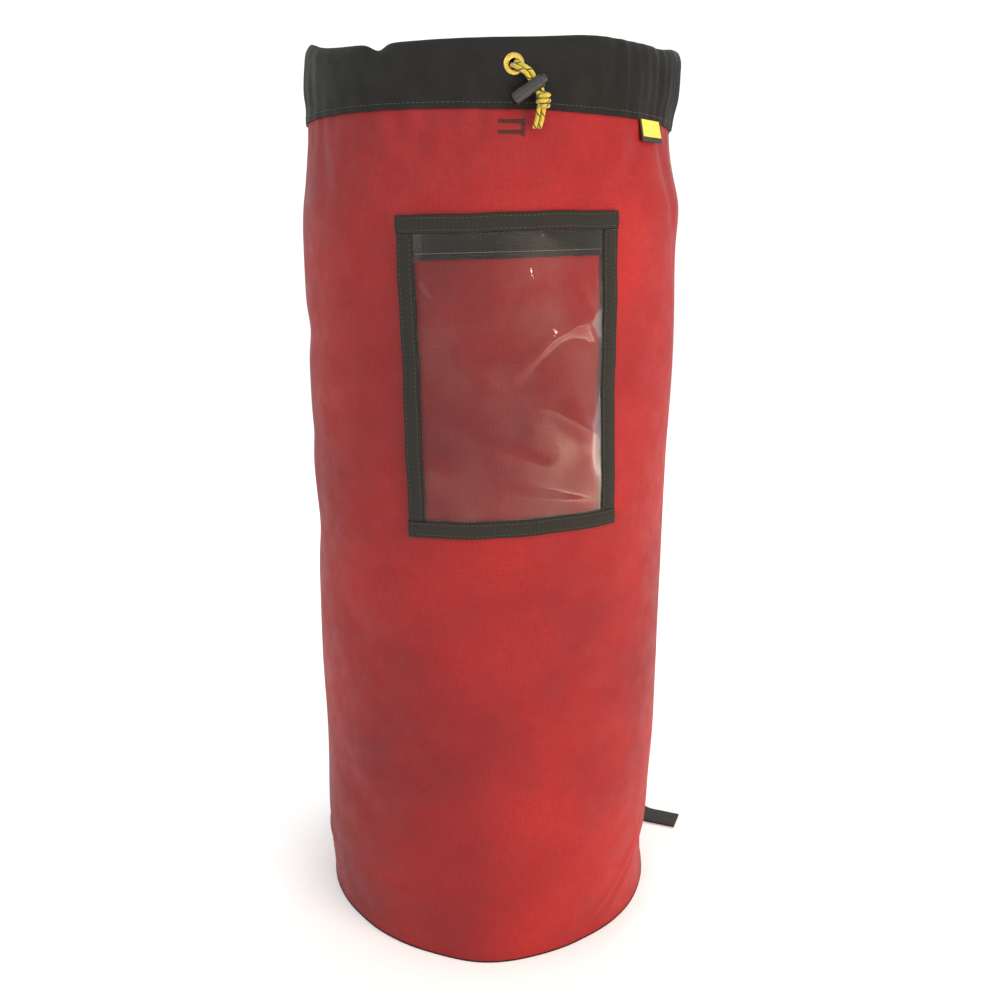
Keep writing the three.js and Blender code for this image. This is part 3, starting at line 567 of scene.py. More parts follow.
def set_camera():
    data = bpy.data.cameras.new("camera")
    data.lens = CAMERA_LENS
    data.sensor_width = 36
    data.clip_start = 0.01
    camera = bpy.data.objects.new("camera", data)
    bpy.context.scene.collection.objects.link(camera)
    camera.location = around(CAMERA_SIDE, CAMERA_DISTANCE, CAMERA_HEIGHT) * MM
    turn = CAMERA_SIDE - OFF_AXIS
    camera.rotation_euler = (math.radians(90 - CAMERA_PITCH), 0, math.radians(turn))
    bpy.context.scene.camera = camera


set_camera()


# ---------------------------------------------------------------- drawcord, cord lock and knot

LOCK_RISE = math.radians(34)
lock_axis = np.array([math.cos(LOCK_RISE), 0, math.sin(LOCK_RISE)])
cord_run = np.array([math.sin(LOCK_RISE), 0, -math.cos(LOCK_RISE)])


def by_grommet(right, above, out):
    """A point near the cord exit: right of the grommet's centre, above it and out from the collar."""
    return np.array([right, -COLLAR_RADIUS - out, GROMMET_HEIGHT + above])


lock_centre = by_grommet(14, -13.3, 6.2)
knot_centre = by_grommet(19.3, -23.2, 4.8)


def strand_line(side):
    """One strand from the tunnel, out of the grommet and through the lock to the knot."""
    aside = lock_axis * side * CORD_PITCH / 2
    inside = [by_grommet(side * 10.4, 0, -6.75), by_grommet(side * 6.3, side * 0.2, -6.6),
              by_grommet(side * 2.7, side * 0.7, -5.5)]
    shared = [by_grommet(0, 0, out) for out in (-3.7, -1, 1.4)]
    shared += [by_grommet(2.3, -1.5, 4), by_grommet(5.4, -3.4, 5.7)]
    shared += [lock_centre + cord_run * s for s in (-9, -4.5, 0, 4.9)]
    return catmull(inside + [p + aside for p in shared], 40)


def knot_line():
    """Two turns of the cord round its own strands, and the end that crosses over them."""
    down = unit(np.array([-0.12, 0.1, -1.0]))
    wide = unit(np.cross(down, [0, 1, 0]))
    deep = np.cross(down, wide)
    points = []
    for t in np.linspace(0, 1, 40):
        turn = 2 * np.pi * (2.15 * t + 0.1)
        height = -3.6 + 7.2 * t
        points.append(knot_centre + down * height + wide * 3.7 * np.cos(turn) + deep * 3.1 * np.sin(turn))
    start = knot_centre - down * 4.4 + wide * 0.6
    end = knot_centre + down * 4.6 - wide * 0.4
    return catmull([start, *points, end], 120)


def tail_line(side):
    rows = [(18.9, -25.5, 4.8), (17.8, -29.6, 4.6), (17.3, -34, 3.9), (15.2, -41, 3.2)]
    return catmull([by_grommet(x + side * CORD_PITCH / 2, z, n) for x, z, n in rows], 18)


def sealed_end(count, radius):
    """Radii along a tail whose cut end is melted into a small bead."""
    t = np.linspace(0, 1, count)
    return radius * (1 + 0.12 * np.exp(-(((t - 0.96) / 0.03) ** 2)) - 0.45 * smooth((t - 0.97) / 0.03))


def loop_line():
    """The cord inside the collar's tunnel."""
    a = np.linspace(4.4, 355.6, 180)
    return around(a, 141.15, GROMMET_HEIGHT)


def build_drawcord():
    loop = tube("drawcord_loop_braid", loop_line(), CORD / 2, drawcord, 8)
    sewn(loop, replaced=["drawcord_loop"])
    knot = tube("drawcord_knot_wraps", knot_line(), 1.45, drawcord)
    sewn(knot, replaced=["drawcord_knot"])
    pieces = {-1: [knot], 1: ["cord_lock_barrel", "cord_lock_plunger"]}
    for name, side in (("left", -1), ("right", 1)):
        line = tail_line(side)
        tail = tube(f"drawcord_tail_{name}_braid", line, sealed_end(len(line), CORD / 2), drawcord)
        sewn(tail, replaced=[f"drawcord_tail_{name}"])
        path = strand_line(side)
        into_knot = np.linspace(path[-1], knot_centre, 8)[1:]
        strand = tube(f"drawcord_strand_{name}_braid", np.vstack([path, into_knot]), CORD / 2, drawcord)
        sewn(strand, replaced=[f"drawcord_strand_{name}"])
        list(pieces[side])


def lock_spring():
    """The coil inside the lock, made at rest; the real one shortens as the button goes in."""
    bottom, top, travel = -16.35, -8.65, 3.2
    t = np.linspace(0, 1, 160)
    turn = 2 * np.pi * 4.5 * t
    across = np.array([0, 1, 0])
    line = (lock_centre + lock_axis * (bottom + (top - bottom) * t)[:, None]
            + 2.6 * (np.cos(turn)[:, None] * cord_run + np.sin(turn)[:, None] * across))
    spring = tube("cord_lock_coil", line, 0.35, steel, 8)
    sewn(spring, "cord_lock", ["cord_lock_spring"])
    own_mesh(spring)


build_drawcord()
lock_spring()


# ---------------------------------------------------------------- the bag's soft shape

# How far the cloth stands out of, or sinks into, the round body: angle, height, half width in
# degrees, half height and distance.
SWELLS = [
    (-86, 75, 30, 45, 1.2), (-86, 345, 26, 24, -2.0), (-86, 511, 22, 16, -2.4), (-86, 622, 30, 22, -2.2),
    (73, 30, 26, 38, -6.0), (73, 46, 16, 11, -3.2), (75, 100, 26, 40, -2.5), (73, 500, 30, 75, 3.0),
    (73, 605, 28, 22, 2.6), (-30, 250, 26, 70, 0.9), (22, 190, 24, 60, -1.1), (-55, 430, 18, 50, -0.9),
    (140, 420, 26, 60, -2.2), (-140, 300, 28, 70, -2.0), (160, 200, 24, 60, 1.6), (-110, 150, 26, 50, -1.4),
    (112, 330, 22, 60, 1.4), (-120, 520, 24, 40, 1.2),
]
# Folds in the cloth: angle and height of each end, half width, and depth. The cloth rises beside the
# fold, to the right of the way from its first end to its second.
FOLDS = [
    (58.8, 67, 33, 17, 4.5, 2.6), (-104, 60, -76, 61, 4, 1.7), (-36, 664, -21, 630, 8, 1.3),
    (-7, 664, -20, 629, 8, 1.5), (45, 660, 31, 617, 8, 2.4), (54, 652, 61, 596, 10, 2.4),
    (-66, 655, -58, 606, 9, 1.2), (-62, 300, -28, 246, 18, 1.0), (14, 302, 44, 236, 18, 0.9),
    (-74, 168, -38, 104, 16, 1.1), (-18, 96, 16, 74, 12, 0.8), (20, 158, -22, 118, 20, 0.8),
    (84, 240, 108, 180, 14, 1.6), (122, 402, 154, 326, 16, 1.8), (-134, 318, -100, 232, 18, 1.7),
    (-152, 520, -118, 464, 14, 1.5), (150, 130, 118, 84, 12, 1.6), (100, 560, 128, 500, 14, 1.4),
    (-96, 400, -76, 452, 12, 1.1), (-170, 250, -140, 190, 16, 1.2),
]
# Long soft waves: turns round the bag, turns per metre of height, phase and height.
WAVES = [
    (2, 1.4, 0.4, 0.5), (3, -2.1, 2.1, 0.45), (5, 3.3, 4.0, 0.3), (8, -4.6, 1.3, 0.2), (13, 6.1, 5.2, 0.12),
    (21, -9.0, 0.8, 0.07),
]
# The base seam's outline: angle, half width and distance out.
FOOT_OUTLINE = [(-7.5, 12, 3.4), (34, 20, -2.4), (-46, 22, -1.4), (150, 30, -1.5), (-140, 26, 1.2)]


def bell(value, half_width):
    return np.exp(-((value / half_width) ** 2))


def fold_shape(angle, z, fold):
    a0, z0, a1, z1, width, depth = fold
    run = np.array([math.radians(float(turn_between(a1, a0))) * BODY_RADIUS, z1 - z0])
    length = np.hypot(*run)
    u = np.radians(turn_between(angle, a0)) * BODY_RADIUS
    v = z - z0
    along = (u * run[0] + v * run[1]) / length
    aside = (u * run[1] - v * run[0]) / length
    past_end = np.maximum(0, np.abs(along - length / 2) - length / 5)
    fade = bell(past_end, 0.32 * length)
    return depth * fade * (0.6 * bell(aside - 1.7 * width, 1.4 * width) - bell(aside, width))


def sewn_down(angle, z):
    """From 0 where straps are sewn to the back to 1 elsewhere."""
    back = smooth((np.abs(turn_between(angle, 0)) - 98) / 22)
    ends = np.clip(smooth((z - 535) / 35) + smooth((72 - z) / 22), 0, 1)
    return 1 - 0.93 * back * ends


def surface(angle, z):
    """The cloth's outside radius."""
    angle, z = np.broadcast_arrays(np.asarray(angle, float), np.asarray(z, float))
    move = sum(d * bell(turn_between(angle, a), w) * bell(z - h, t) for a, h, w, t, d in SWELLS)
    move = move + sum(fold_shape(angle, z, fold) for fold in FOLDS)
    turn = np.radians(angle)
    for turns, rate, phase, height in WAVES:
        move = move + height * np.sin(turns * turn + 2 * np.pi * rate * z / 1000 + phase)
    foot = sum(d * bell(turn_between(angle, a), w) for a, w, d in FOOT_OUTLINE)
    move = move + foot * smooth((55 - z) / 55)
    gathers = 0.45 * np.sin(46 * turn + 0.8 * np.sin(5 * turn)) * smooth((z - 630) / 36)
    return body_radius(z) + (move + gathers) * sewn_down(angle, z)


def on_cloth(angle, z, above=0.0):
    return around(angle, surface(angle, z) + above, z)


def outward(points):
    """Level directions away from the bag's axis."""
    flat = np.array(points, float)
    flat[..., 2] = 0
    return unit(flat)


def row_on_cloth(angles, heights, above):
    line = on_cloth(np.asarray(angles, float), np.asarray(heights, float), above)
    return line, outward(line)


# ---------------------------------------------------------------- body, base and collar

def shell(name, outline, material, sides=240, closed=True):
    """Cloth turned round the bag. outline(angle) gives the loop of points at an angle."""
    return skin(name, [outline(a) for a in np.linspace(0, 360, sides, endpoint=False)], material, closed)


def build_body():
    low, high = 1.4, BODY_TOP
    heights = np.concatenate([np.linspace(low, 70, 24), np.linspace(73.5, high, 165)])
    inner = np.linspace(high - 0.4, low + 0.4, 90)

    def outline(angle):
        outside = on_cloth(angle, heights)
        inside = on_cloth(angle, inner, -FABRIC)
        return np.vstack([outside, inside])

    body = shell("body_fabric", outline, red_fabric)
    body.data.materials.append(red_inside)
    outer_quads = len(heights) - 1
    sides = len(heights) + len(inner)
    for i, face in enumerate(body.data.polygons):
        face.material_index = 0 if i % sides < outer_quads or i % sides == sides - 1 else 1
    sewn(body, replaced=["body_panel"])


DRAIN_BORE = 5.8


def build_base():
    """The round base with its edge turned up inside the body, and the raised part round the drain."""
    edge = 0.5

    def raised(points):
        away = np.hypot(points[..., 0], points[..., 1] - DRAIN_BACK)
        return 1.5 * (1 - smooth((away - 10.5) / 3.5))

    def outline(angle):
        reach = surface(angle, 1.4)
        flange = reach - 1.5 - GAP
        inside = flange - FABRIC
        shares = np.concatenate([[0.004], np.linspace(0.05, 0.985, 44)])
        rows = [(s * reach, 0.0) for s in shares]
        rows += [(reach + edge - 0.3, 0.15), (reach + edge, 0.6), (reach + edge - 0.3, 1.1), (flange, 1.25)]
        rows += [(flange, z) for z in (4, 8, 12)] + [(flange - 0.3, 14), (inside, 13.8)]
        rows += [(inside, z) for z in (10, 5, 1.5)]
        rows += [(s * inside, FABRIC) for s in shares[::-1]]
        r, z = np.array(rows).T
        points = around(angle, r, z)
        points[:, 2] += raised(points) * (r < 0.97 * inside)
        return points

    base = shell("base_fabric", outline, black_fabric, 200)
    drain = np.array([0, DRAIN_BACK, 0])
    bored(base, drain - [0, 0, 3], drain + [0, 0, 8], DRAIN_BORE)
    sewn(base, replaced=["base_panel"])

    def tape_outline(angle):
        top = surface(angle, 14) - 1.5 - GAP
        inner = top - FABRIC - GAP
        rows = [(inner - 1, 4.6), (inner, 4.3), (inner, 14.3), (top, 14.4), (top, 15.2), (inner - 0.7, 15.3)]
        r, z = np.array(rows).T
        return around(angle, r, z)

    tape = shell("base_seam_binding", tape_outline, binding_shade, 120)
    sewn(tape, replaced=["base_seam_tape"])


COLLAR_MIDDLE = COLLAR_RADIUS - FABRIC / 2
COLLAR_INSIDE = COLLAR_MIDDLE - FABRIC - 7.4


def collar_middle():
    """The middle of the folded collar sheet, as radius and height, from its outer hem over the rim."""
    hem = SEAM + 10
    rim = RIM - FABRIC / 2
    top = (COLLAR_MIDDLE + COLLAR_INSIDE) / 2
    outer_hem, inner_hem = NECK_RADIUS + 0.9, NECK_RADIUS - 2.1
    return catmull([
        (outer_hem, SEAM), (outer_hem + 0.2, hem), (COLLAR_MIDDLE, hem + 10), (COLLAR_MIDDLE, rim - 14),
        (COLLAR_MIDDLE - 0.8, rim - 5), (top, rim), (COLLAR_INSIDE + 0.8, rim - 5),
        (COLLAR_INSIDE, rim - 14), (COLLAR_INSIDE, hem + 12), (inner_hem - 0.3, hem), (inner_hem, SEAM),
    ], 74)


RIM_NOTCH = -39  # angle of the dent in the rim, where a crease ends
# How far the collar leans out at its rim, and how far its rim stands up: angle, half width, distance.
FLARES = [(75, 36, 5.0), (-85, 42, -3.6), (-150, 34, 1.6), (140, 34, -2.0)]
RIM_RISES = [
    (0, 24, -2.6), (84, 26, 8.0), (-86, 17, 11.0), (-34, 26, -4.0), (RIM_NOTCH, 3, -4.2), (24, 12, 1.8),
    (180, 50, 5.0), (52, 5, -1.4), (130, 12, -2.0), (-140, 14, -2.2),
]
SEAM_SLOPE = 2.4
HEM_STITCH_HEIGHT = 4.0


def collar_shift(angle, share, outer):
    """How far the collar moves out and up at an angle. share is from 0 at its seam to 1 at its rim."""
    signed = float(turn_between(angle, 0))
    turn = math.radians(angle)
    near = float(surface(angle, SEAM) - body_radius(SEAM))
    flare = sum(d * bell(turn_between(angle, a), w) for a, w, d in FLARES)
    rise = sum(d * bell(turn_between(angle, a), w) for a, w, d in RIM_RISES)
    right = smooth((signed - 15) / 12) * smooth((104 - signed) / 22)
    pleats = right * (0.75 * np.sin(76 * turn + 1.6 * share) + 0.55 * np.sin(55 * turn + 1.0))
    gathers = 0.35 * np.sin(43 * turn + 1.2 * np.sin(4 * turn)) + 0.3 * np.sin(17 * turn + 2.4 * share)
    crease = -1.5 * bell(turn_between(angle, RIM_NOTCH) - 9 * (1 - share), 2.6) * smooth((share - 0.25) / 0.6)
    body = 0.35 + 0.65 * np.sin(np.pi * share)
    soft = np.where(outer, body, 0.25 * body)
    out = near * (1 - share) + flare * share + (pleats + gathers) * soft + np.where(outer, crease, 0)
    away = np.hypot(math.radians(signed) * COLLAR_RADIUS - 9, share * (RIM - SEAM) - 20)
    clear = smooth((away - 25) / 14)
    slope = -SEAM_SLOPE * math.sin(math.radians(signed)) * (1 - share)
    return out * clear, rise * smooth(share) + slope * (0.3 + 0.7 * clear)


def collar_points(angle, above=0.0):
    """The collar's middle line at an angle, moved by above to its outer side."""
    flat = collar_middle_line
    along = unit(np.gradient(flat, axis=0))
    moved = flat + above * np.stack([along[:, 1], -along[:, 0]], -1)
    share = np.clip((flat[:, 1] - SEAM) / (RIM - SEAM), 0, 1)
    outer = np.arange(len(flat)) < len(flat) // 2
    out, up = collar_shift(angle, share, outer)
    return around(angle, moved[:, 0] + out, moved[:, 1] + up)


collar_middle_line = collar_middle()


def build_collar():
    half = FABRIC / 2

    def outline(angle):
        return np.vstack([collar_points(angle, half), collar_points(angle, -half)[::-1]])

    collar = shell("collar_fabric", outline, black_fabric, 360)
    exit_point = by_grommet(0, 0, 0)
    bored(collar, exit_point - [0, 4, 0], exit_point + [0, 4.4, 0], 4.5)
    sewn(collar, replaced=["collar"])

    angles = np.linspace(0, 360, 361)
    row = int(np.argmax(collar_middle_line[:, 1] > SEAM + HEM_STITCH_HEIGHT))
    for name, step, side in (("collar_hem_stitches", row, 1), ("collar_lining_stitches", -1 - row, -1)):
        line = np.array([collar_points(a, half + 0.1)[step] for a in angles])
        facing = outward(line) * side
        sewn(stitches(name, line, facing, olive_thread, 3.6, 2.6, 0.5))


def build_bar_tack():
    """The dense stitching through the body that holds the rope tie loop inside."""
    for name, z in (("upper", 660.2), ("lower", 653.2)):
        line, facing = row_on_cloth(np.linspace(-4, 2.6, 20), np.full(20, z), 0.1)
        tack = stitches(f"tie_tack_{name}", line, facing, black_thread, 1.2, 3.4, 0.8, crossways=True)
        sewn(tack)
    line, facing = row_on_cloth(np.full(20, 2.7), np.linspace(650.5, 662, 20), 0.1)
    tack = stitches("tie_tack_side", line, facing, black_thread, 1.2, 3.2, 0.8, crossways=True)
    sewn(tack)


build_body()
build_base()
build_collar()
build_bar_tack()


# ---------------------------------------------------------------- document pocket

# Creases of the clear sheet: both ends in the pocket, half width and height.
CRINKLES = [
    (-42, 44, -30, 16, 3.2, 0.9), (-30, 16, -8, -2, 3.0, 0.8), (2, 4, 30, 30, 3.4, 0.9),
    (30, 30, 66, 44, 4.5, 0.7), (-34, 92, -22, 58, 3.4, 0.8), (-58, 62, -22, 30, 6.0, 0.9),
    (8, 74, 62, 30, 7.0, 0.9), (-56, -28, 12, -62, 6.5, 0.8), (18, -18, 68, -46, 7.0, 0.9),
    (-24, -78, 52, -96, 5.0, 0.7), (38, 92, 56, 50, 5.0, 0.7), (-62, -60, -30, -98, 6.0, 0.7),
    (-12, 60, 6, 12, 8.0, 0.7), (40, 8, 58, -66, 7.5, 0.6),
]


def on_pocket(x, y, above):
    """A point of the pocket, which is sewn on a little askew."""
    turn = math.radians(POCKET["tilt"])
    x, y = np.broadcast_arrays(np.asarray(x, float), np.asarray(y, float))
    u = x * math.cos(turn) - y * math.sin(turn)
    z = POCKET["middle"] + x * math.sin(turn) + y * math.cos(turn)
    return on_cloth(np.degrees(u / BODY_RADIUS), z, above)


def crinkled(x, y):
    """Height of the clear sheet above its edges."""
    height = np.zeros(np.shape(x))
    for x0, y0, x1, y1, width, rise in CRINKLES:
        run = np.array([x1 - x0, y1 - y0], float)
        length = np.hypot(*run)
        along = ((x - x0) * run[0] + (y - y0) * run[1]) / length
        aside = ((x - x0) * run[1] - (y - y0) * run[0]) / length
        past_end = np.maximum(0, np.abs(along - length / 2) - length / 3)
        height = height + rise * bell(past_end, 0.25 * length) * bell(aside, width)
    height = height + 0.3 * np.sin(x / 13 + 0.8 * np.sin(y / 21)) * np.sin(y / 17 + 1.0) + 0.3
    inside = smooth((74 - np.abs(x)) / 14) * smooth((106 - np.abs(y)) / 16)
    return np.maximum(height, 0) * inside


def build_window():
    half_width = POCKET["width"] / 2 - FABRIC
    half_height = POCKET["height"] / 2 - FABRIC

    def place(x, y, side):
        return on_pocket(x, y, WINDOW_LIFT + crinkled(x, y) + 0.5 * side)

    xs, ys = np.linspace(-half_width, half_width, 108), np.linspace(-half_height, half_height, 152)
    window = slab("pocket_window_sheet", xs, ys, place, vinyl, 0)
    sewn(window, replaced=["pocket_window"])
    return window, (2 * half_width * MM, 2 * half_height * MM)


def tape_section(width):
    """Across a folded binding tape: offset and height above the body, thinner along its stitch rows."""
    half = width / 2
    across = np.linspace(-half + 0.7, half - 0.7, 15)
    dips = 0.45 * (bell(across - half * 0.62, 0.9) + bell(across + half * 0.62, 0.9))
    top = 4.15 + 0.3 * (1 - (across / half) ** 2) - dips
    outside = [(-half, 1.0), (-half - 0.1, 2.3), (-half + 0.2, 3.4)]
    outside += list(zip(across, top))
    return np.array(outside + [(half - 0.2, 3.5), (half + 0.05, 2.4), (half, 1.0), (half - 0.6, GAP),
                               (0, GAP), (-half + 0.6, GAP)])


def build_bindings():
    width, height, tape = POCKET["width"], POCKET["height"], POCKET["binding"]
    side_middle, end_middle = (width - tape) / 2, (height - tape) / 2
    between = height / 2 - tape - GAP
    section = tape_section(tape)
    rows = 0.62 * tape / 2
    made = []
    layout = [
        ("top", 0, end_middle, width / 2, True), ("bottom", 0, -end_middle, width / 2, True),
        ("left", -side_middle, 0, between, False), ("right", side_middle, 0, between, False),
    ]
    for name, x, y, reach, level in layout:
        along = np.linspace(-reach, reach, 90)

        def spot(s, offset, above):
            wander = 0.35 * np.sin(s / 19 + x) + 0.2 * np.sin(s / 7 + y)
            if level:
                return on_pocket(x + s, y + offset + wander, above)
            return on_pocket(x + offset + wander, y + s, above)

        ripple = 0.12 * np.sin(along / 5.3 + x + y)
        rings = [spot(s, section[:, 0], section[:, 1] * (1 + 0.02 * r)) for s, r in zip(along, ripple)]
        binding = skin(f"pocket_binding_{name}_tape", rings, binding_shade)
        sewn(binding, replaced=[f"pocket_binding_{name}"])
        made.append(binding)
        for row, offset in (("outer", rows), ("inner", -rows)):
            ends = np.linspace(-reach + 2, reach - 2, 120)
            line = spot(ends, offset, 3.92)
            seam_name = f"pocket_{name}_{row}_stitches"
            seam = stitches(seam_name, line, outward(line), olive_thread, 3.3, 2.4, 0.45)
            sewn(seam)
            made.append(seam)
    return made


def build_closure():
    """The hook and loop strips inside the pocket's mouth, the upper one seen through the clear sheet."""
    width = POCKET["width"] - 2 * POCKET["binding"] - 2 * GAP
    visible = 17
    middle = POCKET["height"] / 2 - POCKET["binding"] - GAP - visible / 2
    xs = np.linspace(-width / 2, width / 2, 90)
    made = []
    for name, low, high in (("loop", GAP, 1.2), ("hook", 1.6, 2.6)):

        def place(x, y, side):
            scallop = 0.5 * np.sin(x / 2.9) * (y < middle - visible / 2 + 1)
            return on_pocket(x, y + scallop, low + (high - low) * side)

        ys = middle + np.linspace(-visible / 2, visible / 2, 12)
        strip = slab(f"pocket_{name}_pile", xs, ys, place, hook_pile, 0)
        sewn(strip, replaced=[f"pocket_{name}_strip"])
        made.append(strip)
    line = on_pocket(np.linspace(-width / 2 + 1, width / 2 - 1, 120), middle - 4.5, 2.75)
    seam = stitches("pocket_hook_stitches", line, outward(line), cream_thread, 3.0, 2.3, 0.35)
    return made + [sewn(seam)]


def build_pocket():
    window, flat = build_window()
    trim = build_bindings() + build_closure()
    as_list(trim[:8])


build_pocket()


# ---------------------------------------------------------------- side label and rope tie loop

def build_label():
    """The folded label: yellow, with a black edge on its bottom and a black strip of painted shadow down its
    left side.
    """
    angle = 46
    out = around(angle, 1, 0)
    along = around(angle + 90, 1, 0)
    hinge = around(angle, NECK_RADIUS + GAP + FABRIC + 1.1, SEAM - GAP)
    lean = math.radians(7)
    down = np.array([0, 0, -1]) * math.cos(lean) + out * math.sin(lean)
    face = np.cross(along, down)
    face = face if face @ out > 0 else -face

    def place(x, y, side):
        drop = -y
        shear = 0.16 * drop * (1 - x / 60)
        curl = 0.5 * np.sin(x / 7) * (drop / 16) + 0.02 * drop * (x / 14) ** 2
        flat = hinge + along * (x + shear)[:, None] + down * (drop + 0.7)[:, None]
        return flat + face * (curl + 0.9 * (side - 0.5))[:, None]

    xs, ys = np.linspace(-14, 14, 41), np.linspace(0, -15.2, 31)
    label = slab("side_label_fold", xs, ys, place, label_yellow, 0.2)
    label.data.materials.append(label_black_and_painted_shadow)
    for facet in label.data.polygons:
        offset = np.array(facet.center) / MM - hinge
        drop = offset @ down
        left = offset @ along - 0.16 * drop
        # Black along the bottom edge, and painted shadow in the same black down the left side.
        facet.material_index = 1 if drop > 12.6 or left < -11.8 else 0
    sewn(label, "label", ["side_label"])


def build_tie_loop():
    """The webbing loop inside the mouth."""
    width, height, reach, corner, thick, top = 18, 52, 17, 5, 1.8, 661
    wall = float(body_radius(top)) - FABRIC - GAP - (width / 2) ** 2 / (2 * NECK_RADIUS)
    middle = np.array([0, -wall + reach / 2, top - height / 2])
    half_reach, half_height, radius = reach / 2 - thick / 2, height / 2 - thick / 2, corner + thick / 2
    line = []
    for sign_y, sign_z, start in ((1, 1, 0), (-1, 1, 90), (-1, -1, 180), (1, -1, 270)):
        turn = np.radians(np.linspace(start, start + 90, 10))
        y = sign_y * (half_reach - radius) + radius * np.cos(turn)
        z = sign_z * (half_height - radius) + radius * np.sin(turn)
        line += [middle + [0, b, c] for b, c in zip(y, z)]
    line = resample(np.array(line + line[:1]), 97)[:-1]
    along = unit(np.roll(line, -1, 0) - np.roll(line, 1, 0))
    wide = np.tile([1.0, 0, 0], (len(line), 1))
    face = np.cross(along, wide)
    spots = np.linspace(-width / 2, width / 2, 9)
    section = [(w, thick / 2) for w in spots] + [(w, -thick / 2) for w in spots[::-1]]
    rings = [[p + w * a + f * b for a, b in section] for p, w, f in zip(line, wide, face)]
    sewn(skin("rope_tie_webbing", rings, webbing_shade, True), replaced=["rope_tie_loop"])


build_label()
build_tie_loop()


# ---------------------------------------------------------------- back: spine, yoke and haul loop

def patch(name, middle, size, lift, thick, material, cells):
    """A flat piece sewn over the cloth, centred on an angle and a height."""
    angle, height = middle
    width, tall = size
    xs = np.linspace(-width / 2, width / 2, cells[0])
    ys = np.linspace(-tall / 2, tall / 2, cells[1])

    def place(x, y, side):
        return on_cloth(angle + np.degrees(x / BODY_RADIUS), height + y, lift + thick * side)

    return slab(name, xs, ys, place, material, 0.3)


def seam_on_back(name, corners, above, material=black_thread, angle=180):
    """Stitches along lines whose points are distances across and heights."""
    x, z = resample(np.array(corners, float), 160).T
    line, facing = row_on_cloth(angle + np.degrees(x / BODY_RADIUS), z, above)
    return sewn(stitches(name, line, facing, material, 3.4, 2.5, 0.5))


SPINE_WIDTH = 38
YOKE_SEAM_INSET = 4


def build_back():
    top, bottom = SEAM - 0.6, 16
    middle = (180, (top + bottom) / 2)
    size = (SPINE_WIDTH, top - bottom)
    spine = patch("spine_webbing_strip", middle, size, SEWN_GAP, WEBBING, webbing_shade, (14, 180))
    sewn(spine, replaced=["spine_webbing"])
    for name, x in (("left", -16.5), ("right", 16.5)):
        seam_on_back(f"spine_stitches_{name}", [(x, bottom + 4), (x, top - 4)], SEWN_GAP + WEBBING + 0.1)
    size = (YOKE["width"], YOKE["height"])
    middle = (180, YOKE["middle"])
    yoke = patch("strap_yoke_panel", middle, size, YOKE_LIFT, YOKE["thickness"], black_fabric, (70, 16))
    sewn(yoke, replaced=["strap_yoke"])
    x = size[0] / 2 - YOKE_SEAM_INSET
    reach = size[1] / 2 - YOKE_SEAM_INSET
    low, high = YOKE["middle"] - reach, YOKE["middle"] + reach
    above = YOKE_LIFT + YOKE["thickness"] + 0.1
    border = [(-x, low), (x, low), (x, high), (-x, high), (-x, low)]
    seam_on_back("yoke_border_stitches", border, above)


def build_haul_loop():
    height = SEAM - 2.6
    axis = float(body_radius(height)) + SEWN_GAP + 2 * WEBBING + GAP / 2 + 0.5
    layer = WEBBING / 2 + GAP / 2
    run = [
        (-layer, 0.5), (-layer + 0.1, -3), (0.6, -12), (4.0, -30), (9.2, -48), (13.5, -62), (20.5, -69.5),
        (27.5, -63), (26.5, -48), (16.5, -25), (6.5, -10), (layer + 0.7, -3), (layer, 0.5),
    ]
    line = catmull([(0, axis + out, height + up) for out, up in run], 110)
    loop = ribbon("haul_loop_webbing", line, (1, 0, 0), STRAP_WIDTH, WEBBING, webbing_shade)
    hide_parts("haul_loop")
    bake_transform(loop)


build_back()
build_haul_loop()


# ---------------------------------------------------------------- shoulder straps

def strap_slack(z):
    return STRAP_BOW * np.sin(np.pi * (STRAP_TOP - z) / (STRAP_TOP - STRAP_FOOT))


def strap_angle(side, z):
    down = (STRAP_TOP - np.asarray(z, float)) / (STRAP_TOP - STRAP_FOOT)
    return 180 - side * (STRAP_TOP_ANGLE + (STRAP_FOOT_ANGLE - STRAP_TOP_ANGLE) * down)


def strap_point(side, z, above):
    z = np.asarray(z, float)
    return around(strap_angle(side, z), body_radius(z) + above + strap_slack(z), z)


def strap_across(side, z):
    a = np.radians(strap_angle(side, z))
    return np.stack([-np.cos(a), -np.sin(a), np.zeros(np.shape(a))], -1)


def buckle_frame(side):
    """Origin and axes of a ladder lock: X across the strap, Y outwards and Z up it."""
    origin = strap_point(side, BUCKLE_HEIGHT, STRAP_LIFT + 3)
    up = unit(strap_point(side, BUCKLE_HEIGHT + 5, 0) - strap_point(side, BUCKLE_HEIGHT - 5, 0))
    across = strap_across(side, BUCKLE_HEIGHT)
    across = unit(across - up * (across @ up))
    return origin, across, np.cross(up, across), up


def inflate(pad, voxel, pressure, most):
    """Swells a closed piece with Cloth. No point moves further than most."""
    remesh = pad.modifiers.new("remesh", "REMESH")
    remesh.mode = "VOXEL"
    remesh.voxel_size = voxel * MM
    bpy.context.view_layer.update()
    applied(pad, remesh)
    rest = np.array([v.co for v in pad.data.vertices])
    cloth = pad.modifiers.new("cloth", "CLOTH")
    cloth.settings.quality = 5
    cloth.settings.use_pressure = True
    cloth.settings.uniform_pressure_force = pressure
    cloth.settings.effector_weights.gravity = 0
    cloth.settings.tension_stiffness = 25
    cloth.settings.compression_stiffness = 25
    cloth.settings.bending_stiffness = 2
    for step in range(1, 21):
        bpy.context.scene.frame_set(step)
    applied(pad, cloth)
    bpy.context.scene.frame_set(1)
    moved = np.array([v.co for v in pad.data.vertices]) - rest
    far = np.linalg.norm(moved, axis=1, keepdims=True)
    rest = rest + moved * np.minimum(1, most * MM / np.maximum(far, 1e-9))
    pad.data.vertices.foreach_set("co", rest.astype(np.float32).ravel())
    pad.data.update()
    return pad


